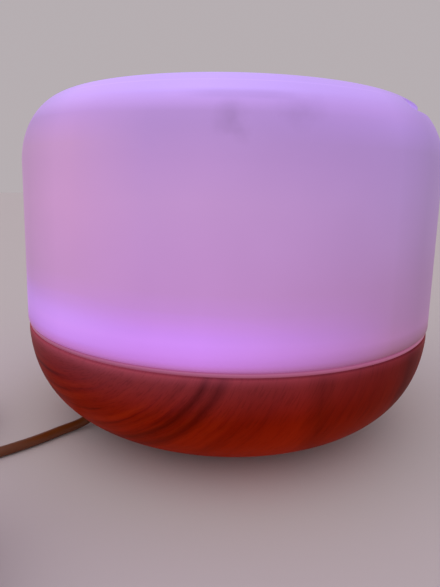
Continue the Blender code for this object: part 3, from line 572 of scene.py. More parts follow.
# Fine lines, bands and pores: features to a metre across the grain, a radian along it and a metre of Y
GRAIN_SCALES = ((430.0, 1.0, 6.0), (90.0, 1.0, 0.0), (2200.0, 14.0, 0.0))
LINES_ACROSS = (-24.0, 4.0)  # the fine lines weaken between these
LINES_Z = (38.0, 28.0)  # and under the rim they are weaker than further down
BANDS_SHARE = 0.22
WOOD_TONES = ((0.32, 104, 14, 2), (0.47, 146, 27, 4), (0.72, 166, 40, 8))
WOOD_LOW = (190, 46, 3)  # towards the table
WOOD_LOW_Z = (30.0, 12.0)
WOOD_LOW_SHARE = 0.65
WOOD_SEAM_GLOW = (154, 72, 86)  # painted light: the cover's glow reflected on the bowl towards the lit seam
WOOD_SEAM_GLOW_Z = 27.0  # where the painted seam light begins
WOOD_LIT_ACROSS = (-40.0, 50.0)  # the seam's light weakens between these
WOOD_LIT_SHARES = (0.9, 0.36)
WOOD_RIM = (106, 42, 58)  # light from the seam on the bowl's edge
WOOD_RIM_Z = 40.4  # the light reaches down to here
WOOD_RIM_FALL = 2.5
# Dark streaks: (distance from the grain's centre, shade)
WOOD_STREAKS = (
    (0.0, 1.0), (55.5, 1.0), (57.5, 0.84), (59.0, 1.0), (61.0, 0.9), (62.7, 0.42),
    (64.8, 0.82), (67.2, 0.52), (70.5, 0.94), (80.0, 0.88), (92.0, 1.0), (140.0, 1.0),
)
# Broad patches, with painted shade that deepens on the dim side where the seam's light weakens: (distance
# across the grain, shade)
WOOD_PATCHES_AND_SHADE = (
    (-90.0, 1.0), (23.0, 1.0), (29.5, 0.68), (35.0, 0.84), (50.0, 0.72), (57.5, 0.7),
    (61.0, 0.58), (64.0, 0.44), (67.0, 0.5), (74.0, 0.75), (90.0, 0.85),
)


def wood_look(name, roughness):
    look = Look(name, roughness)
    x, y, z = look.split(look.place)
    across = look.times_plus(y, GRAIN_ACROSS.y, look.times(x, GRAIN_ACROSS.x))
    waver = look.between(look.noise(40.0), 0.0, 1.0, *mm(-GRAIN_WAVER, GRAIN_WAVER))
    side = look.plus(look.minus(across, GRAIN_CENTRE[0] * MM), waver)
    side = look.maths("MAXIMUM", side, look.times(side, GRAIN_SQUEEZE))
    up = look.minus(z, GRAIN_CENTRE[1] * MM)
    grain = look.length(up, side)
    along = look.maths("ARCTAN2", up, side)
    vectors = [look.join(*map(look.times, (grain, along, y), scales)) for scales in GRAIN_SCALES]
    lines, bands, pores = (look.noise(1.0, vector=vector) for vector in vectors)
    calm = look.between(across, *mm(*LINES_ACROSS), 1.4, 0.4)
    calm = look.times(calm, look.between(z, *mm(*LINES_Z), 0.45, 1.0))
    lines = look.times(look.minus(lines, 0.5), calm)
    tone = look.plus(look.plus(lines, 0.4), look.times(bands, BANDS_SHARE))
    wood = look.ramp(tone, [(at, srgb(*colour)) for at, *colour in WOOD_TONES])
    wood = look.mix(look.between(z, *mm(*WOOD_LOW_Z), 0.0, WOOD_LOW_SHARE), wood, srgb(*WOOD_LOW))
    # Painted light from the seam, mixed into the wood's colour below the rim
    seam_glow = look.between(z, *mm(WOOD_SEAM_GLOW_Z, BASE_TOP_Z))
    lit_side = look.between(across, *mm(*WOOD_LIT_ACROSS), *WOOD_LIT_SHARES)
    wood = look.mix(look.times(seam_glow, seam_glow, lit_side), wood, srgb(*WOOD_SEAM_GLOW))
    # Dark grain streaks, then broad patches with painted shade on the bowl's dim side
    for measure, stops in ((grain, WOOD_STREAKS), (across, WOOD_PATCHES_AND_SHADE)):
        first, last = stops[0][0], stops[-1][0]
        greys = [(at, (dim, dim, dim, 1.0)) for at, dim in stops]
        shade = look.ramp(look.between(measure, *mm(first, last)), greys, first, last)
        wood = look.mix(1.0, wood, shade, "MULTIPLY")
    wood = look.shaded(wood, look.between(pores, 0.34, 0.5, 0.84, 1.0))
    rim = look.maths("POWER", look.between(z, *mm(WOOD_RIM_Z, BASE_TOP_Z)), WOOD_RIM_FALL)
    look.glow(wood, look.mix(look.times(rim, lit_side), srgb(0, 0, 0), srgb(*WOOD_RIM)), 1.0)
    look.set("Specular IOR Level", 0.012)
    look.set("Specular Tint", srgb(255, 130, 80))
    look.bump(look.plus(tone, look.times(pores, 0.25)), 0.1, 0.25)
    return look.mat


def plastic_look(name, colour, roughness, grain=900.0, uneven=0.06, strength=0.15):
    """Moulded plastic with a fine spark-eroded texture and slightly uneven colour."""
    look = Look(name, roughness)
    shade = look.cloud(60.0, 1 - uneven, 1 + uneven, detail=3.0)
    look.set("Base Color", look.shaded(srgb(*colour), shade))
    look.set("Roughness", look.cloud(200.0, roughness - 0.06, roughness + 0.06, span=(0.2, 0.8)))
    look.bump(look.noise(grain), strength, 0.08)
    return look.mat


def metal_look(name, colour, roughness, stretch=(1.0, 1.0, 1.0)):
    """Metal with fine brushing along the axis whose factor is smallest."""
    look = Look(name, roughness, 1.0)
    vector = look.join(*(look.times(axis, factor) for axis, factor in zip(look.split(look.place), stretch)))
    brushed = look.noise(900.0, 3.0, vector)
    dark = look.between(brushed, 0.3, 0.7, 0.0, 0.25)
    look.set("Base Color", look.mix(dark, srgb(*colour), srgb(70, 70, 74)))
    look.set("Roughness", look.between(brushed, 0.3, 0.7, roughness - 0.08, roughness + 0.1))
    look.bump(brushed, 0.08, 0.05)
    return look.mat


def board_look(name, colour, trace):
    """A circuit board: solder mask over faint tracks."""
    look = Look(name, 0.38)
    cells = look.node("TexBrick", look.place)
    cells.inputs["Scale"].default_value = 260.0
    cells.inputs["Mortar Size"].default_value = 0.05
    tracks = look.cloud(130.0, 0.0, 1.0, detail=1.0, span=(0.48, 0.52))
    share = look.times(tracks, cells.outputs["Fac"])
    look.set("Base Color", look.mix(share, srgb(*colour), srgb(*trace)))
    look.bump(share, 0.3, 0.05)
    return look.mat


LIP_R = (83.3, 84.4)  # the lit lip begins between these radii
LIP_Z = (44.9, 46.3)  # and brightens between these heights
LAMPS_R = (50.0, 70.0)  # the glow of the lamps sets in between these radii
WINDING = 9000.0  # radians of copper winding to the metre


def deck_look():
    """The tank's milky plastic, lit pink at the lip under the cover and lavender beside the lamps."""
    look = Look("milky_plastic", 0.38)
    x, y, z = look.split(look.place)
    out = look.length(x, y)
    lip = look.between(out, *mm(*LIP_R))
    near = look.between(out, *mm(*LAMPS_R))
    low = look.between(z, *mm(*LIP_Z))
    colour = look.mix(lip, srgb(226, 218, 228), look.mix(low, srgb(146, 66, 86), srgb(172, 98, 136)))
    glow = look.mix(near, srgb(96, 84, 104), srgb(150, 120, 178))
    glow = look.mix(lip, glow, look.mix(low, srgb(116, 52, 70), srgb(144, 80, 120)))
    look.glow(colour, glow, 0.6)
    look.bump(look.noise(800.0), 0.1, 0.06)
    return look.mat


def lamp_look(name, colour, light, strength):
    """A diffuser or lens that gives off light, a little uneven in its pigment."""
    look = Look(name, 0.3)
    shade = look.cloud(180.0, 0.88, 1.08)
    look.glow(look.shaded(srgb(*colour), shade), look.shaded(srgb(*light), shade), strength)
    return look.mat


def copper_look():
    """Enamelled copper wire wound round a drum."""
    look = Look("copper_winding", 0.35, 1.0)
    # Painted shade in the grooves between turns and a painted highlight on their crests
    turns = look.maths("SINE", look.times(look.split(look.place)[2], WINDING))
    look.set("Base Color", look.mix(look.between(turns, -1.0, 1.0), srgb(112, 52, 26), srgb(206, 118, 66)))
    look.bump(turns, 0.5, 0.2)
    return look.mat


def materials():
    return {
        "cover": cover_look(),
        "wood": wood_look("wood_grain_print", 0.42),
        "button": wood_look("wood_grain_button", 0.36),
        "tank": deck_look(),
        "hood": plastic_look("milky_hood", (222, 216, 226), 0.4, 700.0, 0.02),
        "white": plastic_look("white_plastic", (228, 226, 224), 0.45, 900.0, 0.02),
        "diffuser": lamp_look("ring_diffuser", (226, 216, 236), (170, 120, 255), 1.6),
        "lens": lamp_look("led_lens", (230, 224, 240), (176, 130, 255), 3.0),
        "underside": plastic_look("brown_plastic", (70, 26, 18), 0.5),
        "black": plastic_look("black_plastic", (30, 29, 30), 0.5, 1200.0),
        "gloss": plastic_look("black_gloss", (24, 24, 26), 0.22, 1500.0, 0.04, 0.04),
        "rubber": plastic_look("foot_rubber", (38, 36, 36), 0.82, 1600.0, 0.1, 0.4),
        "silicone": plastic_look("silicone", (206, 204, 198), 0.62, 700.0, 0.03, 0.1),
        "board": board_look("circuit_board", (22, 78, 46), (58, 128, 72)),
        "light_board": board_look("light_board", (224, 224, 220), (196, 196, 190)),
        "steel": metal_look("screw_steel", (188, 188, 192), 0.3, (1.0, 1.0, 0.2)),
        "disc": metal_look("transducer_steel", (204, 204, 208), 0.24, (1.0, 0.1, 1.0)),
        "contact": metal_look("plated_contact", (214, 210, 200), 0.2, (1.0, 1.0, 0.1)),
        "can": metal_look("capacitor_can", (160, 164, 172), 0.32),
        "copper": copper_look(),
        "jacket": plastic_look("cable_jacket", (112, 56, 16), 0.4, 500.0, 0.12, 0.08),
        "lead": plastic_look("lead_jacket", (58, 54, 54), 0.5, 700.0, 0.08, 0.08),
    }


# ---- cover, hood and tank


def cover_meridian():
    """Points down the cover from its hole to its rim: (radius, height, normal, distance from the top)."""
    across, up = SHOULDER_ACROSS, SHOULDER_UP
    centre_r = WALL_TOP_R - across
    hand_over = math.atan2(up, CROWN_SLOPE * across)
    hand_r = centre_r + across * math.cos(hand_over)
    hand_z = WALL_TOP_Z + up * math.sin(hand_over)
    tilt = math.atan(CROWN_SLOPE)
    crown_r = hand_r / math.sin(tilt)
    crown_z = hand_z - crown_r * math.cos(tilt)
    crown_steps, shoulder_steps, wall_steps = 36, 30, 14
    points = []
    for k in range(crown_steps):
        angle = math.asin((MIST_HOLE_R + (hand_r - MIST_HOLE_R) * k / crown_steps) / crown_r)
        out, high = math.sin(angle), math.cos(angle)
        points.append((crown_r * out, crown_z + crown_r * high, Vector((out, high))))
    angles = [hand_over * (1 - k / shoulder_steps) for k in range(shoulder_steps)]
    close = [STEP_R + STEP_BLUR * share - centre_r for share in (-1.0, -0.6, -0.2, 0.2, 0.6, 1.0)]
    angles += [math.acos(reach / across) for reach in close]
    angles.append(math.asin((STEP_FLOOR_Z - WALL_TOP_Z) / up))
    for angle in sorted(angles, reverse=True):
        normal = Vector((math.cos(angle) / across, math.sin(angle) / up)).normalized()
        points.append((centre_r + across * math.cos(angle), WALL_TOP_Z + up * math.sin(angle), normal))
    drop = WALL_TOP_Z - COVER_RIM_Z
    normal = Vector((drop, COVER_RIM_R - WALL_TOP_R)).normalized()
    for k in range(wall_steps + 1):
        share = k / wall_steps * (1 - RIM_ROUND / drop)
        points.append((WALL_TOP_R + (COVER_RIM_R - WALL_TOP_R) * share, WALL_TOP_Z - drop * share, normal))
    walked = MIST_HOLE_R
    meridian = []
    for before, point in zip(points[:1] + points, points):
        walked += math.dist(before[:2], point[:2])
        meridian.append((*point, walked))
    return meridian


def dish_floor(out):
    """Depth of the dish along its middle."""
    for (x0, d0), (x1, d1) in zip(DISH_DEPTHS, DISH_DEPTHS[1:]):
        if x0 <= out <= x1:
            return d0 + (d1 - d0) * (out - x0) / (x1 - x0)
    return 0.0


def dish_depth(r, along, angle):
    """How far the mist dish sinks the cover at a radius, distance from the top and heading."""
    out = along * math.cos(angle)
    side = r * math.sin(angle)
    width = DISH_END_R + DISH_WIDENING * max(out, 0.0)
    away = math.hypot(out, side) if out < 0 else abs(side)
    inside = width - away
    turn = abs((angle + math.pi) % math.tau - math.pi)
    mouth = r - STEP_R - FLARE_FALL * max(turn - FLARE_REACH, 0.0)
    near = max(FLARE_ROUND - abs(inside - mouth), 0.0)
    inside = max(inside, mouth) + near * near / (4 * FLARE_ROUND)
    reach = out + (along - out) * smooth_step((along - DISH_BEND[0]) / DISH_BEND[1])
    depth = sum(dish_floor(max(reach, DISH_BACK) + shift) for shift in DISH_BLUR) / len(DISH_BLUR)
    return depth * smooth_step(inside / DISH_EDGE + 0.5)


def step_depth(r, z, normal, angle):
    """How far the crescent step sinks the cover: level from its wall out to the shoulder."""
    turn = abs((angle + math.pi) % math.tau - math.pi)
    share = smooth_step((STEP_REACH - turn) / STEP_FADE + 1.0)
    wall = smooth_step((r - STEP_R) / (2 * STEP_BLUR) + 0.5)
    return max(z - STEP_FLOOR_Z, 0.0) * normal.y * share * wall


def top_cover(mat):
    """A skin of rings from the hole down the outside, round the rim and back up the inside."""
    meridian = cover_meridian()
    rows = [(*row, 0.0) for row in meridian]
    r, z, *rest = meridian[-1]
    for degrees in (25.0, 50.0, 75.0):
        x, y = polar(RIM_ROUND, degrees)
        rows.append((r - (RIM_ROUND - x), z - y, *rest, 0.0))
    rows.append((r - COVER_WALL + 0.3, COVER_RIM_Z, *rest, 0.0))
    rows += [(*row, COVER_WALL) for row in meridian[::-2]]
    r, z, *rest = meridian[0]
    rows += [(r - 0.4, z, *rest, COVER_WALL * share) for share in (0.75, 0.25)]
    rings = []
    for r, z, normal, along, inset in rows:
        ring = []
        for k in range(COVER_STEPS):
            angle = math.tau * k / COVER_STEPS
            sunk = inset + max(dish_depth(r, along, angle), step_depth(r, z, normal, angle))
            radius = r - sunk * normal.x
            heading = angle + DISH_HEADING
            height = max(z - sunk * normal.y, COVER_RIM_Z)
            ring.append((radius * math.cos(heading), radius * math.sin(heading), height))
        rings.append(ring)
    cover = place("lit_cover", lofted(rings, closed=True), mat, sharp=50.0)
    fit(cover, "frosted_cover", "top_cover", body="cover")


def mist_hood(mat):
    outline = [
        (65.5, 96.4), (65.5, 98.4), (60.0, 102.0), (45.0, 108.0), (28.0, 112.5), (12.0, 116.0),
        (10.8, 127.4), (9.0, 127.4), (9.2, 115.2), (27.5, 110.6), (44.0, 106.2), (58.3, 100.4),
        (59.7, 91.0), (61.3, 91.0), (61.3, 96.4),
    ]
    hood = place("splash_hood", spun(outline, 2.5, ROUND_STEPS, 4), mat)
    fit(hood, "inner_white", "mist_hood", body="hood")


def water_tank(mat):
    outline = [
        (8.5, 44.6), (8.5, 42.2), (15.0, 42.2), (15.6, 44.4), (63.0, 44.4), (66.0, 45.0), (81.0, 45.0),
        (81.0, 40.0), (82.3, 40.0), (82.3, 45.0), (84.9, 45.0), (84.9, 46.3), (82.9, 46.3), (82.9, 50.5),
        (81.4, 50.5), (81.4, 46.6), (64.2, 46.6), (64.2, 96.0), (62.0, 96.0), (62.0, 53.0), (58.0, 49.4),
        (17.5, 47.0), (14.5, 44.6),
    ]
    tank = place("milky_tank", spun(outline, 0.5, FINE_STEPS), mat)
    carve(tank, [post for row in TANK_POSTS for post in rods(*row)], "UNION")
    holes = [hole for row in TANK_HOLES for hole in rods(*row)]
    carve(tank, [*holes, rod(PIPE_R + GAP, 42.0, 52.0, 0.0, PIPE_Y, PIPE_STEPS)])
    fit(tank, "tank_plastic", "water_tank")


def air_pipe(mat):
    """The pipe that brings the fan's air up through the tank, with a flange under the tank's floor."""
    low = FLANGE_TOP_Z - FLANGE_THICK
    outline = [
        (PIPE_BORE_R, PIPE_FOOT_Z), (PIPE_R, PIPE_FOOT_Z), (PIPE_R, low), (FLANGE_R, low),
        (FLANGE_R, FLANGE_TOP_Z), (PIPE_R, FLANGE_TOP_Z), (PIPE_R, PIPE_TOP_Z), (PIPE_BORE_R, PIPE_TOP_Z),
    ]
    shape = moved(spun(outline, 0.8, PIPE_STEPS, 4), y=PIPE_Y)
    fit(place("fan_air_pipe", shape, mat), "inner_white", "air_pipe")


def light_ring(mat):
    outline = [(67.0, 46.9), (80.6, 46.9), (80.6, 49.4), (67.0, 49.4)]
    ring = place("glowing_ring", spun(outline, 0.8, FINE_STEPS, 4), mat)
    fit(ring, "light_diffuser", "light_ring")


# ---- bowl, underside and buttons


def bowl_outside(steps):
    top, floor = (BASE_TOP_R, BASE_TOP_Z), (BASE_FLOOR_R, BASE_FLOOR_Z)
    first = (BASE_TOP_R, BASE_TOP_Z - BOWL_DROP)
    second = (BASE_FLOOR_R + BOWL_SPREAD, BASE_FLOOR_Z)
    return bezier(top, first, second, floor, steps)


def bowl_radius(height):
    """Outer radius of the bowl at a height."""
    points = bowl_outside(60)
    for (r0, z0), (r1, z1) in zip(points, points[1:]):
        if z1 <= height <= z0:
            return r0 + (r1 - r0) * (z0 - height) / (z0 - z1)
    return BASE_TOP_R


def bowl_inside(steps):
    top, floor = (BASE_TOP_R - BASE_WALL, BASE_TOP_Z), (48.0, BASE_FLOOR_Z + 2.9)
    first = (top[0], BASE_TOP_Z - BOWL_DROP + 1.5)
    second = (floor[0] + BOWL_SPREAD - 4.5, floor[1])
    return bezier(floor, second, first, top, steps)


def base_shell(mat):
    top, out, edge = BASE_TOP_Z, BASE_TOP_R, 0.5
    rim = [(out - BASE_WALL + 0.1, top), (out - edge, top), (out - edge / 3, top - edge / 3)]
    wall = [point for point in bowl_outside(44) if point[1] < top - edge * 0.8]
    ledge = [(BASE_FLOOR_R, LEDGE_Z), (LEDGE_R, LEDGE_Z), (LEDGE_R, LEDGE_TOP_Z), (46.0, LEDGE_TOP_Z)]
    shell = place("wood_bowl", turned(rim + wall + ledge + bowl_inside(18)[:-1], FINE_STEPS), mat)
    roof = [(44.6, 4.1), (56.0, 5.7), (67.5, 10.1), (67.5, 10.8), (59.0, 13.8), (50.0, 15.4), (44.6, 15.6)]
    carve(shell, [side_prism(roof, half_width=6.8)], "UNION")
    groove = [(43.0, -1.0), (66.0, -1.0), (66.0, 8.8), (58.0, 11.8), (50.0, 13.4), (43.0, 13.6)]
    carve(shell, [side_prism(groove, half_width=4.6)])
    carve(shell, [block((-8.9, 8.9), (30.0, 44.3), (2.0, 20.0))])
    holes = rods(SCREW_HOLE_R, 0.0, 12.0, BOSS_RADIUS, BOSS_ANGLES, HOLE_STEPS)
    for side in (-1, 1):
        hole = aimed(rod(BUTTON_R + 0.5, 72.0, 90.0, steps=BUTTON_STEPS), (0, -1, 0))
        holes.append(moved(hole, side * BUTTON_X, z=BUTTON_Z))
    carve(shell, holes)
    fit(shell, "wood_grain", "base_shell")


def bottom_plate(mat):
    outline = [(0.0, 3.0), (43.6, 3.0), (43.6, 6.0), (0.0, 6.0)]
    plate = place("vented_plate", spun(outline, 0.5, ROUND_STEPS), mat)
    carve(plate, [block((-8.5, 8.5), (16.5, 42.5), (3.0, 17.7))], "UNION")
    carve(plate, [rod(3.0, 5.0, 8.7, *at) for at in FAN_POSTS], "UNION")
    cuts = [block((-7.0, 7.0), (18.0, 60.0), (0.0, 16.2))]
    cuts += rods(FOOT_R + GAP, 0.0, FOOT_RECESS_Z, FOOT_RADIUS, FOOT_ANGLES)
    for angle in BOSS_ANGLES:
        bore = [(0.0, 0.0), (3.2, 0.0), (3.2, 5.0), (1.8, 5.0), (1.8, 9.0), (0.0, 9.0)]
        cuts.append(moved(turned(bore, SMALL_STEPS), *polar(BOSS_RADIUS, angle)))
    grille, pitch, half_slot = 14.0, 5.4, 1.5
    for k in range(-2, 3):
        reach = math.sqrt(grille**2 - (pitch * k) ** 2)
        middle = FAN_Y + pitch * k
        cuts.append(block((-reach, reach), (middle - half_slot, middle + half_slot), (0.0, 9.0)))
    cuts += [rod(1.9, 0.0, 12.0, *at, HOLE_STEPS) for at in FAN_POSTS]
    cuts.append(moved(aimed(rod(3.3, 14.0, 20.0), (0, 1, 0)), z=PLUG_Z))
    carve(plate, cuts)
    fit(plate, "base_underside", "bottom_plate")


def feet(mat):
    outline = [
        (0.0, 0.4), (1.8, 0.4), (2.0, 0.0), (2.9, 0.0), (3.1, 0.4), (3.9, 0.4), (4.1, 0.0), (5.3, 0.0),
        (FOOT_R, 0.7), (FOOT_R, FOOT_RECESS_Z - GAP), (0.0, FOOT_RECESS_Z - GAP),
    ]
    for k, angle in enumerate(FOOT_ANGLES, 1):
        shape = spun(outline, 0.4, SMALL_STEPS)
        foot = place(f"rubber_foot_{k}", moved(shape, *polar(FOOT_RADIUS, angle)), mat)
        fit(foot, "foot_rubber", f"foot_{k}")


def bottom_screws(mat):
    """Pan-head screws with a cross recess, seen from below."""
    outline = [(0.0, 3.2), (2.1, 3.2), (2.8, 3.9), (2.8, 4.7), (1.45, 4.7), (1.45, 20.0), (0.0, 21.2)]
    long, wide = 1.5, 0.3
    for k, angle in enumerate(BOSS_ANGLES, 1):
        x, y = polar(BOSS_RADIUS, angle)
        screw = place(f"pan_screw_{k}", moved(spun(outline, 0.3, SMALL_STEPS), x, y), mat)
        for dx, dy in ((long, wide), (wide, long)):
            carve(screw, [block((x - dx, x + dx), (y - dy, y + dy), (2.0, 4.2))])
        fit(screw, "screw_steel", f"bottom_screw_{k}")


def button_profile(mark):
    """Outline of a button from its stem to its face, with a raised mark."""
    cap, face = BUTTON_R, BUTTON_FACE
    side = [(0.0, 68.65), (2.5, 68.65), (2.5, 73.0), (8.0, 73.0), (8.0, 74.4), (cap, 74.4)]
    edge = [(cap, face - 1.0), (cap - 0.15, face - 0.5), (cap - 0.5, face - 0.15), (cap - 1.0, face)]
    flat = [(5.0, face), (4.4, face), (3.8, face)]
    return side + edge + flat + [(out, face + up) for out, up in BUTTON_MARKS[mark]]


def button(name, node, body, x, mark, mat):
    """A push button whose crowned cap follows the bowl."""
    shape = aimed(turned(button_profile(mark), BUTTON_STEPS), (0, -1, 0))
    moved(shape, x, z=BUTTON_Z)
    for vert in shape.verts:
        across, depth, height = vert.co.x / MM, -vert.co.y / MM, vert.co.z / MM
        if depth > BUTTON_BEND:
            bowl = math.sqrt(bowl_radius(height) ** 2 - across**2)
            vert.co.y = -(bowl + BUTTON_PROUD + depth - BUTTON_FACE) * MM
    fit(place(name, shape, mat), "button_cap", node, body=body)


# ---- power cable and adapter


def cable_points():
    """The cable's line from its relief along the table, round its two-layer coil and to the adapter."""
    route = [Vector(p) for p in CABLE_ROUTE]
    table_z = CABLE_ROUTE[-1][2]
    wound = COIL_TURNS - 2 * COIL_ENTRY - COIL_LIFT
    for k in range(1, round(COIL_TURNS * COIL_STEPS)):
        turn = k / COIL_STEPS
        near = min(turn, COIL_TURNS - turn)
        if near < COIL_ENTRY:
            radius = COIL_JOIN_R + (COIL_OUT_R - COIL_JOIN_R) * smooth_step(near / COIL_ENTRY)
        else:
            radius = COIL_OUT_R + (COIL_IN_R - COIL_OUT_R) * min((near - COIL_ENTRY) / (wound / 2), 1.0)
        climb = smooth_step((turn - (COIL_TURNS - COIL_LIFT) / 2) / COIL_LIFT)
        height = table_z + (COIL_LOW_Z - table_z) * smooth_step(turn / COIL_ENTRY)
        height += (COIL_HIGH_Z - COIL_LOW_Z) * climb
        x, y = polar(radius, COIL_START - 360 * turn)
        route.append(Vector((COIL_CENTRE[0] + x, COIL_CENTRE[1] + y, height)))
    return route + [Vector(p) for p in LEAD_ROUTE]


def smooth_route(points, pieces=4):
    """Points along a smooth curve through the given ones (Catmull-Rom)."""
    knots = [2 * points[0] - points[1], *points, 2 * points[-1] - points[-2]]
    route = []
    for a, b, c, d in zip(knots, knots[1:], knots[2:], knots[3:]):
        count = pieces if (c - b).length > 2 * CABLE_R else 1
        for k in range(count):
            t = k / count
            bend = (2 * a - 5 * b + 4 * c - d) * t * t + (3 * b - a - 3 * c + d) * t**3
            route.append(0.5 * (2 * b + (c - a) * t + bend))
    return [*route, knots[-2]]


def power_cable(mat):
    curve = bpy.data.curves.new("power_cable", "CURVE")
    curve.dimensions = "3D"
    curve.bevel_depth = CABLE_R * MM
    curve.bevel_resolution = 4
    curve.use_fill_caps = True
    route = smooth_route(cable_points())
    spline = curve.splines.new("POLY")
    spline.points.add(len(route) - 1)
    for point, at in zip(spline.points, route):
        point.co = (*(at * MM), 1.0)
    spline.use_smooth = True
    curve.materials.append(mat)
    cable = fit(added("power_cable", curve), "cable_jacket", "dc_cable", "cable_coil", "adapter_lead")


def ribbed(start, end, start_r, end_r, ribs):
    """Outline of a tapered strain relief with rings cut round it, from its thick end to its thin one."""
    outline = [(0.0, start), (start_r, start)]
    length = (end - start) / (ribs * 2 + 1)
    for k in range(ribs):
        for step, groove in ((1, 0.0), (1, 0.6), (2, 0.6), (2, 0.0)):
            at = 2 * k + step
            radius = start_r + (end_r - start_r) * at / (ribs * 2 + 1)
            outline.append((radius - groove, start + at * length + (0.05 if groove else 0.0)))
    return [*outline, (end_r, end), (0.0, end)]


def plug(looks):
    """The power plug in its recess: its contact, its ringed grip and its strain relief."""
    barrel = spun([(1.15, 7.4), (2.75, 7.4), (2.75, 18.1), (1.15, 18.1)], 0.4, SMALL_STEPS)
    grip = [(0.0, 18.4), (4.0, 18.4), (4.4, 19.2), (4.4, 21.0)]
    for k in range(4):
        start = 21.6 + 2.0 * k
        grip += [(4.1, start), (4.1, start + 0.6), (4.4, start + 0.9), (4.4, start + 1.4)]
    grip = spun([*grip, (3.6, 33.0), (0.0, 33.0)], 0.25, SMALL_STEPS)
    relief = spun(ribbed(33.3, 44.0, 3.4, 2.4, 3), 0.2, SMALL_STEPS)
    pieces = []
    for name, shape, look, slot, node in (
        ("barrel_contact", barrel, "contact", "plated_contact", "plug_sleeve"),
        ("plug_body", grip, "black", "black_plastic", "dc_plug"),
        ("plug_relief", relief, "black", "black_plastic", "plug_strain_relief"),
    ):
        piece = place(name, moved(aimed(shape, (0, 1, 0)), z=PLUG_Z), looks[look])
        pieces.append(fit(piece, slot, node))
    return pieces


def coil_tie(mat):
    """A hook-and-loop strap round one side of the coil."""

    def loop(inset, corner):
        near, far, top = 9.6 + inset, 35.8 - inset, 9.15 - inset
        return rounded_profile([(near, inset), (far, inset), (far, top), (near, top)], corner, 8)

    outer, inner, half, bevel = loop(0.0, 3.0), loop(0.65, 2.5), 4.0, 0.2
    cos, sin = polar(1.0, TIE_ANGLE)
    rings = []
    for outline, along in ((outer, bevel - half), (outer, half - bevel), (inner, half), (inner, -half)):
        rings.append([
            (COIL_CENTRE[0] + out * cos - along * sin, COIL_CENTRE[1] + out * sin + along * cos, z)
            for out, z in outline
        ])
    return fit(place("cable_strap", lofted(rings, closed=True), mat), "foot_rubber", "coil_tie")


def rounded_rectangle(long, wide, corner, steps=6):
    points = []
    for sx, sy, start in ((1, 1, 0), (-1, 1, 90), (-1, -1, 180), (1, -1, 270)):
        for k in range(steps + 1):
            dx, dy = polar(corner, start + 90 * k / steps)
            points.append((sx * (long / 2 - corner) + dx, sy * (wide / 2 - corner) + dy))
    return points


def adapter(looks):
    """A wall adapter lying on its back: its case with a parting line, two prongs and a strain relief."""
    (cx, cy), (long, wide, tall) = ADAPTER_CENTRE, ADAPTER_SIZE
    seam = tall * 0.5
    edge = [(0.0, 3.2), (0.35, 1.5), (1.3, 0.5), (3.0, 0.0)]  # (height, inset)
    levels = edge + [(seam - 0.45, 0.0), (seam - 0.2, 0.45), (seam + 0.2, 0.45), (seam + 0.45, 0.0)]
    levels += [(tall - z, inset) for z, inset in edge[::-1]] + [(tall, 5.0), (tall - 0.4, 5.3)]
    rings = []
    for z, inset in levels:
        corner = max(4.5 - inset * 0.5, 1.5)
        outline = rounded_rectangle(long - 2 * inset, wide - 2 * inset, corner)
        rings.append([(cx + x, cy + y, z) for x, y in outline])
    case = place("wall_adapter", lofted(rings), looks["gloss"], sharp=30.0)
    middles = [cy + side * PRONG_SPACING / 2 for side in (-1, 1)]
    carve(case, [block((cx - 3.5, cx + 3.5), (y - 1.05, y + 1.05), (tall - 2.0, tall + 5)) for y in middles])
    fit(case, "black_gloss", "adapter_case")
    pieces = [case]
    foot, tip, half = 25.3, 43.5, 3.2
    outline = rounded_profile([(-half, foot), (half, foot), (half, tip), (-half, tip)], half / 2, 5)
    centre = Vector((0.0, (foot + tip) / 2))
    for k, middle in enumerate(middles, 1):
        rings = []
        for y, inset in ((-0.75, 0.25), (-0.55, 0.0), (0.55, 0.0), (0.75, 0.25)):
            ring = [centre + (p - centre) * (1 - inset / 9.0) for p in outline]
            rings.append([(cx + p.x, middle + y, p.y) for p in ring])
        blade = place(f"adapter_blade_{k}", lofted(rings), looks["contact"])
        carve(blade, [moved(aimed(rod(1.5, -5.0, 5.0), (0, 1, 0)), cx, middle, tip - 4.5)])
        pieces.append(fit(blade, "plated_contact", f"adapter_prong_{k}"))
    relief = spun(ribbed(-RELIEF_FOOT_X, -RELIEF_TIP_X, 4.0, 2.4, 3), 0.2, SMALL_STEPS)
    y, z = LEAD_ROUTE[-1][1:]
    relief = place("adapter_relief", moved(aimed(relief, (-1, 0, 0)), y=y, z=z), looks["black"])
    pieces.append(fit(relief, "black_plastic", "adapter_strain_relief"))
    return pieces


# ---- CAD nodes that are kept


CARRIED = {  # look: (slot, nodes)
    "disc": ("transducer_steel", "transducer_disc"),
    "silicone": ("silicone", "transducer_seal"),
    "white": ("inner_white", "transducer_clamp air_duct"),
    "light_board": ("light_board", "led_board"),
    "lens": ("led_lens", "led_1 led_2 led_3 led_4 led_5 led_6"),
    "black": (
        "black_plastic", "fan_frame fan_rotor dc_jack regulator control_chip tact_switch_1 tact_switch_2"
    ),
    "steel": ("screw_steel", "fan_screw_1 fan_screw_2 clamp_screw_1 clamp_screw_2 clamp_screw_3"),
    "board": ("circuit_board", "main_board button_board"),
    "copper": ("copper_coil", "inductor"),
    "can": ("capacitor_can", "capacitor_1 capacitor_2"),
    "lead": ("lead_jacket", "transducer_lead fan_lead led_lead button_lead"),
}


def carried_nodes(looks):
    for look, (slot, names) in CARRIED.items():
        for name in names.split():
            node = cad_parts[name]
            for holder in node.material_slots:
                holder.material = looks[look]


# ---- room


WORLD_LIGHT = 0.56
SUN_LIGHT = 0.75
SUN_FROM = (-0.5, 0.6, 0.9)  # direction of the soft sun, over the cable's side
SUN_SPREAD = 90.0  # degrees
FLOOR_HALF = 4.0  # metres


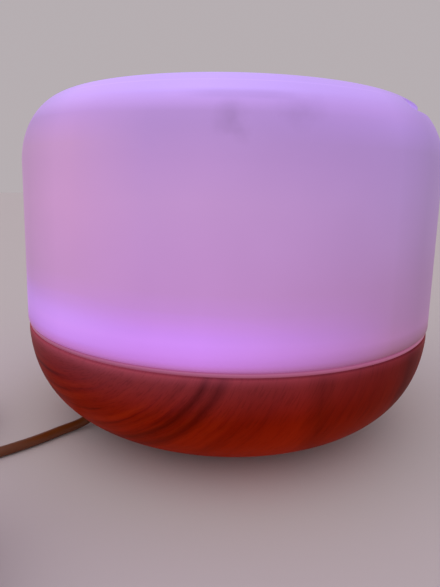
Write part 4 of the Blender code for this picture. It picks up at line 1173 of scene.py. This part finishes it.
def studio():
    """A pale floor under soft, even light."""
    floor = bmesh.new()
    bmesh.ops.create_grid(floor, x_segments=1, y_segments=1, size=FLOOR_HALF)
    look = Look("pale_floor", 0.7)
    shade = look.cloud(3.0, 0.985, 1.0, span=(0.0, 1.0))
    look.set("Base Color", look.shaded(srgb(222, 214, 216), shade))
    look.set("Specular IOR Level", 0.2)
    place("floor", floor, look.mat)
    world = bpy.data.worlds.new("studio")
    world.use_nodes = True
    background = world.node_tree.nodes["Background"]
    background.inputs["Color"].default_value = srgb(236, 226, 230)
    background.inputs["Strength"].default_value = WORLD_LIGHT
    bpy.context.scene.world = world
    light = bpy.data.lights.new("soft_sun", "SUN")
    light.energy = SUN_LIGHT
    light.angle = math.radians(SUN_SPREAD)
    added("soft_sun", light).rotation_euler = (-Vector(SUN_FROM)).to_track_quat("-Z", "Y").to_euler()


def camera():
    data = bpy.data.cameras.new("camera")
    data.lens = CAMERA_LENS
    data.clip_start = 0.005
    thing = added("camera", data)
    turns = ((CAMERA_HEADING - 90.0, "Z"), (90.0 - CAMERA_DROP, "X"), (CAMERA_ROLL, "Z"))
    heading, drop, roll = (Matrix.Rotation(math.radians(angle), 4, axis) for angle, axis in turns)
    thing.matrix_world = Matrix.Translation(Vector(CAMERA_PLACE) * MM) @ heading @ drop @ roll
    bpy.context.scene.camera = thing
    bpy.context.scene.view_settings.view_transform = "Standard"


def build():
    camera()
    studio()
    looks = materials()
    corded = plug(looks) + [coil_tie(looks["rubber"])] + adapter(looks)
    power_cable(looks["jacket"])
    top_cover(looks["cover"])
    mist_hood(looks["hood"])
    water_tank(looks["tank"])
    air_pipe(looks["white"])
    light_ring(looks["diffuser"])
    base_shell(looks["wood"])
    bottom_plate(looks["underside"])
    feet(looks["rubber"])
    bottom_screws(looks["steel"])
    button("mist_cap", "mist_button", "mist_key", -BUTTON_X, "dot", looks["button"])
    button("light_cap", "light_button", "light_key", BUTTON_X, "ring", looks["button"])
    carried_nodes(looks)


build()
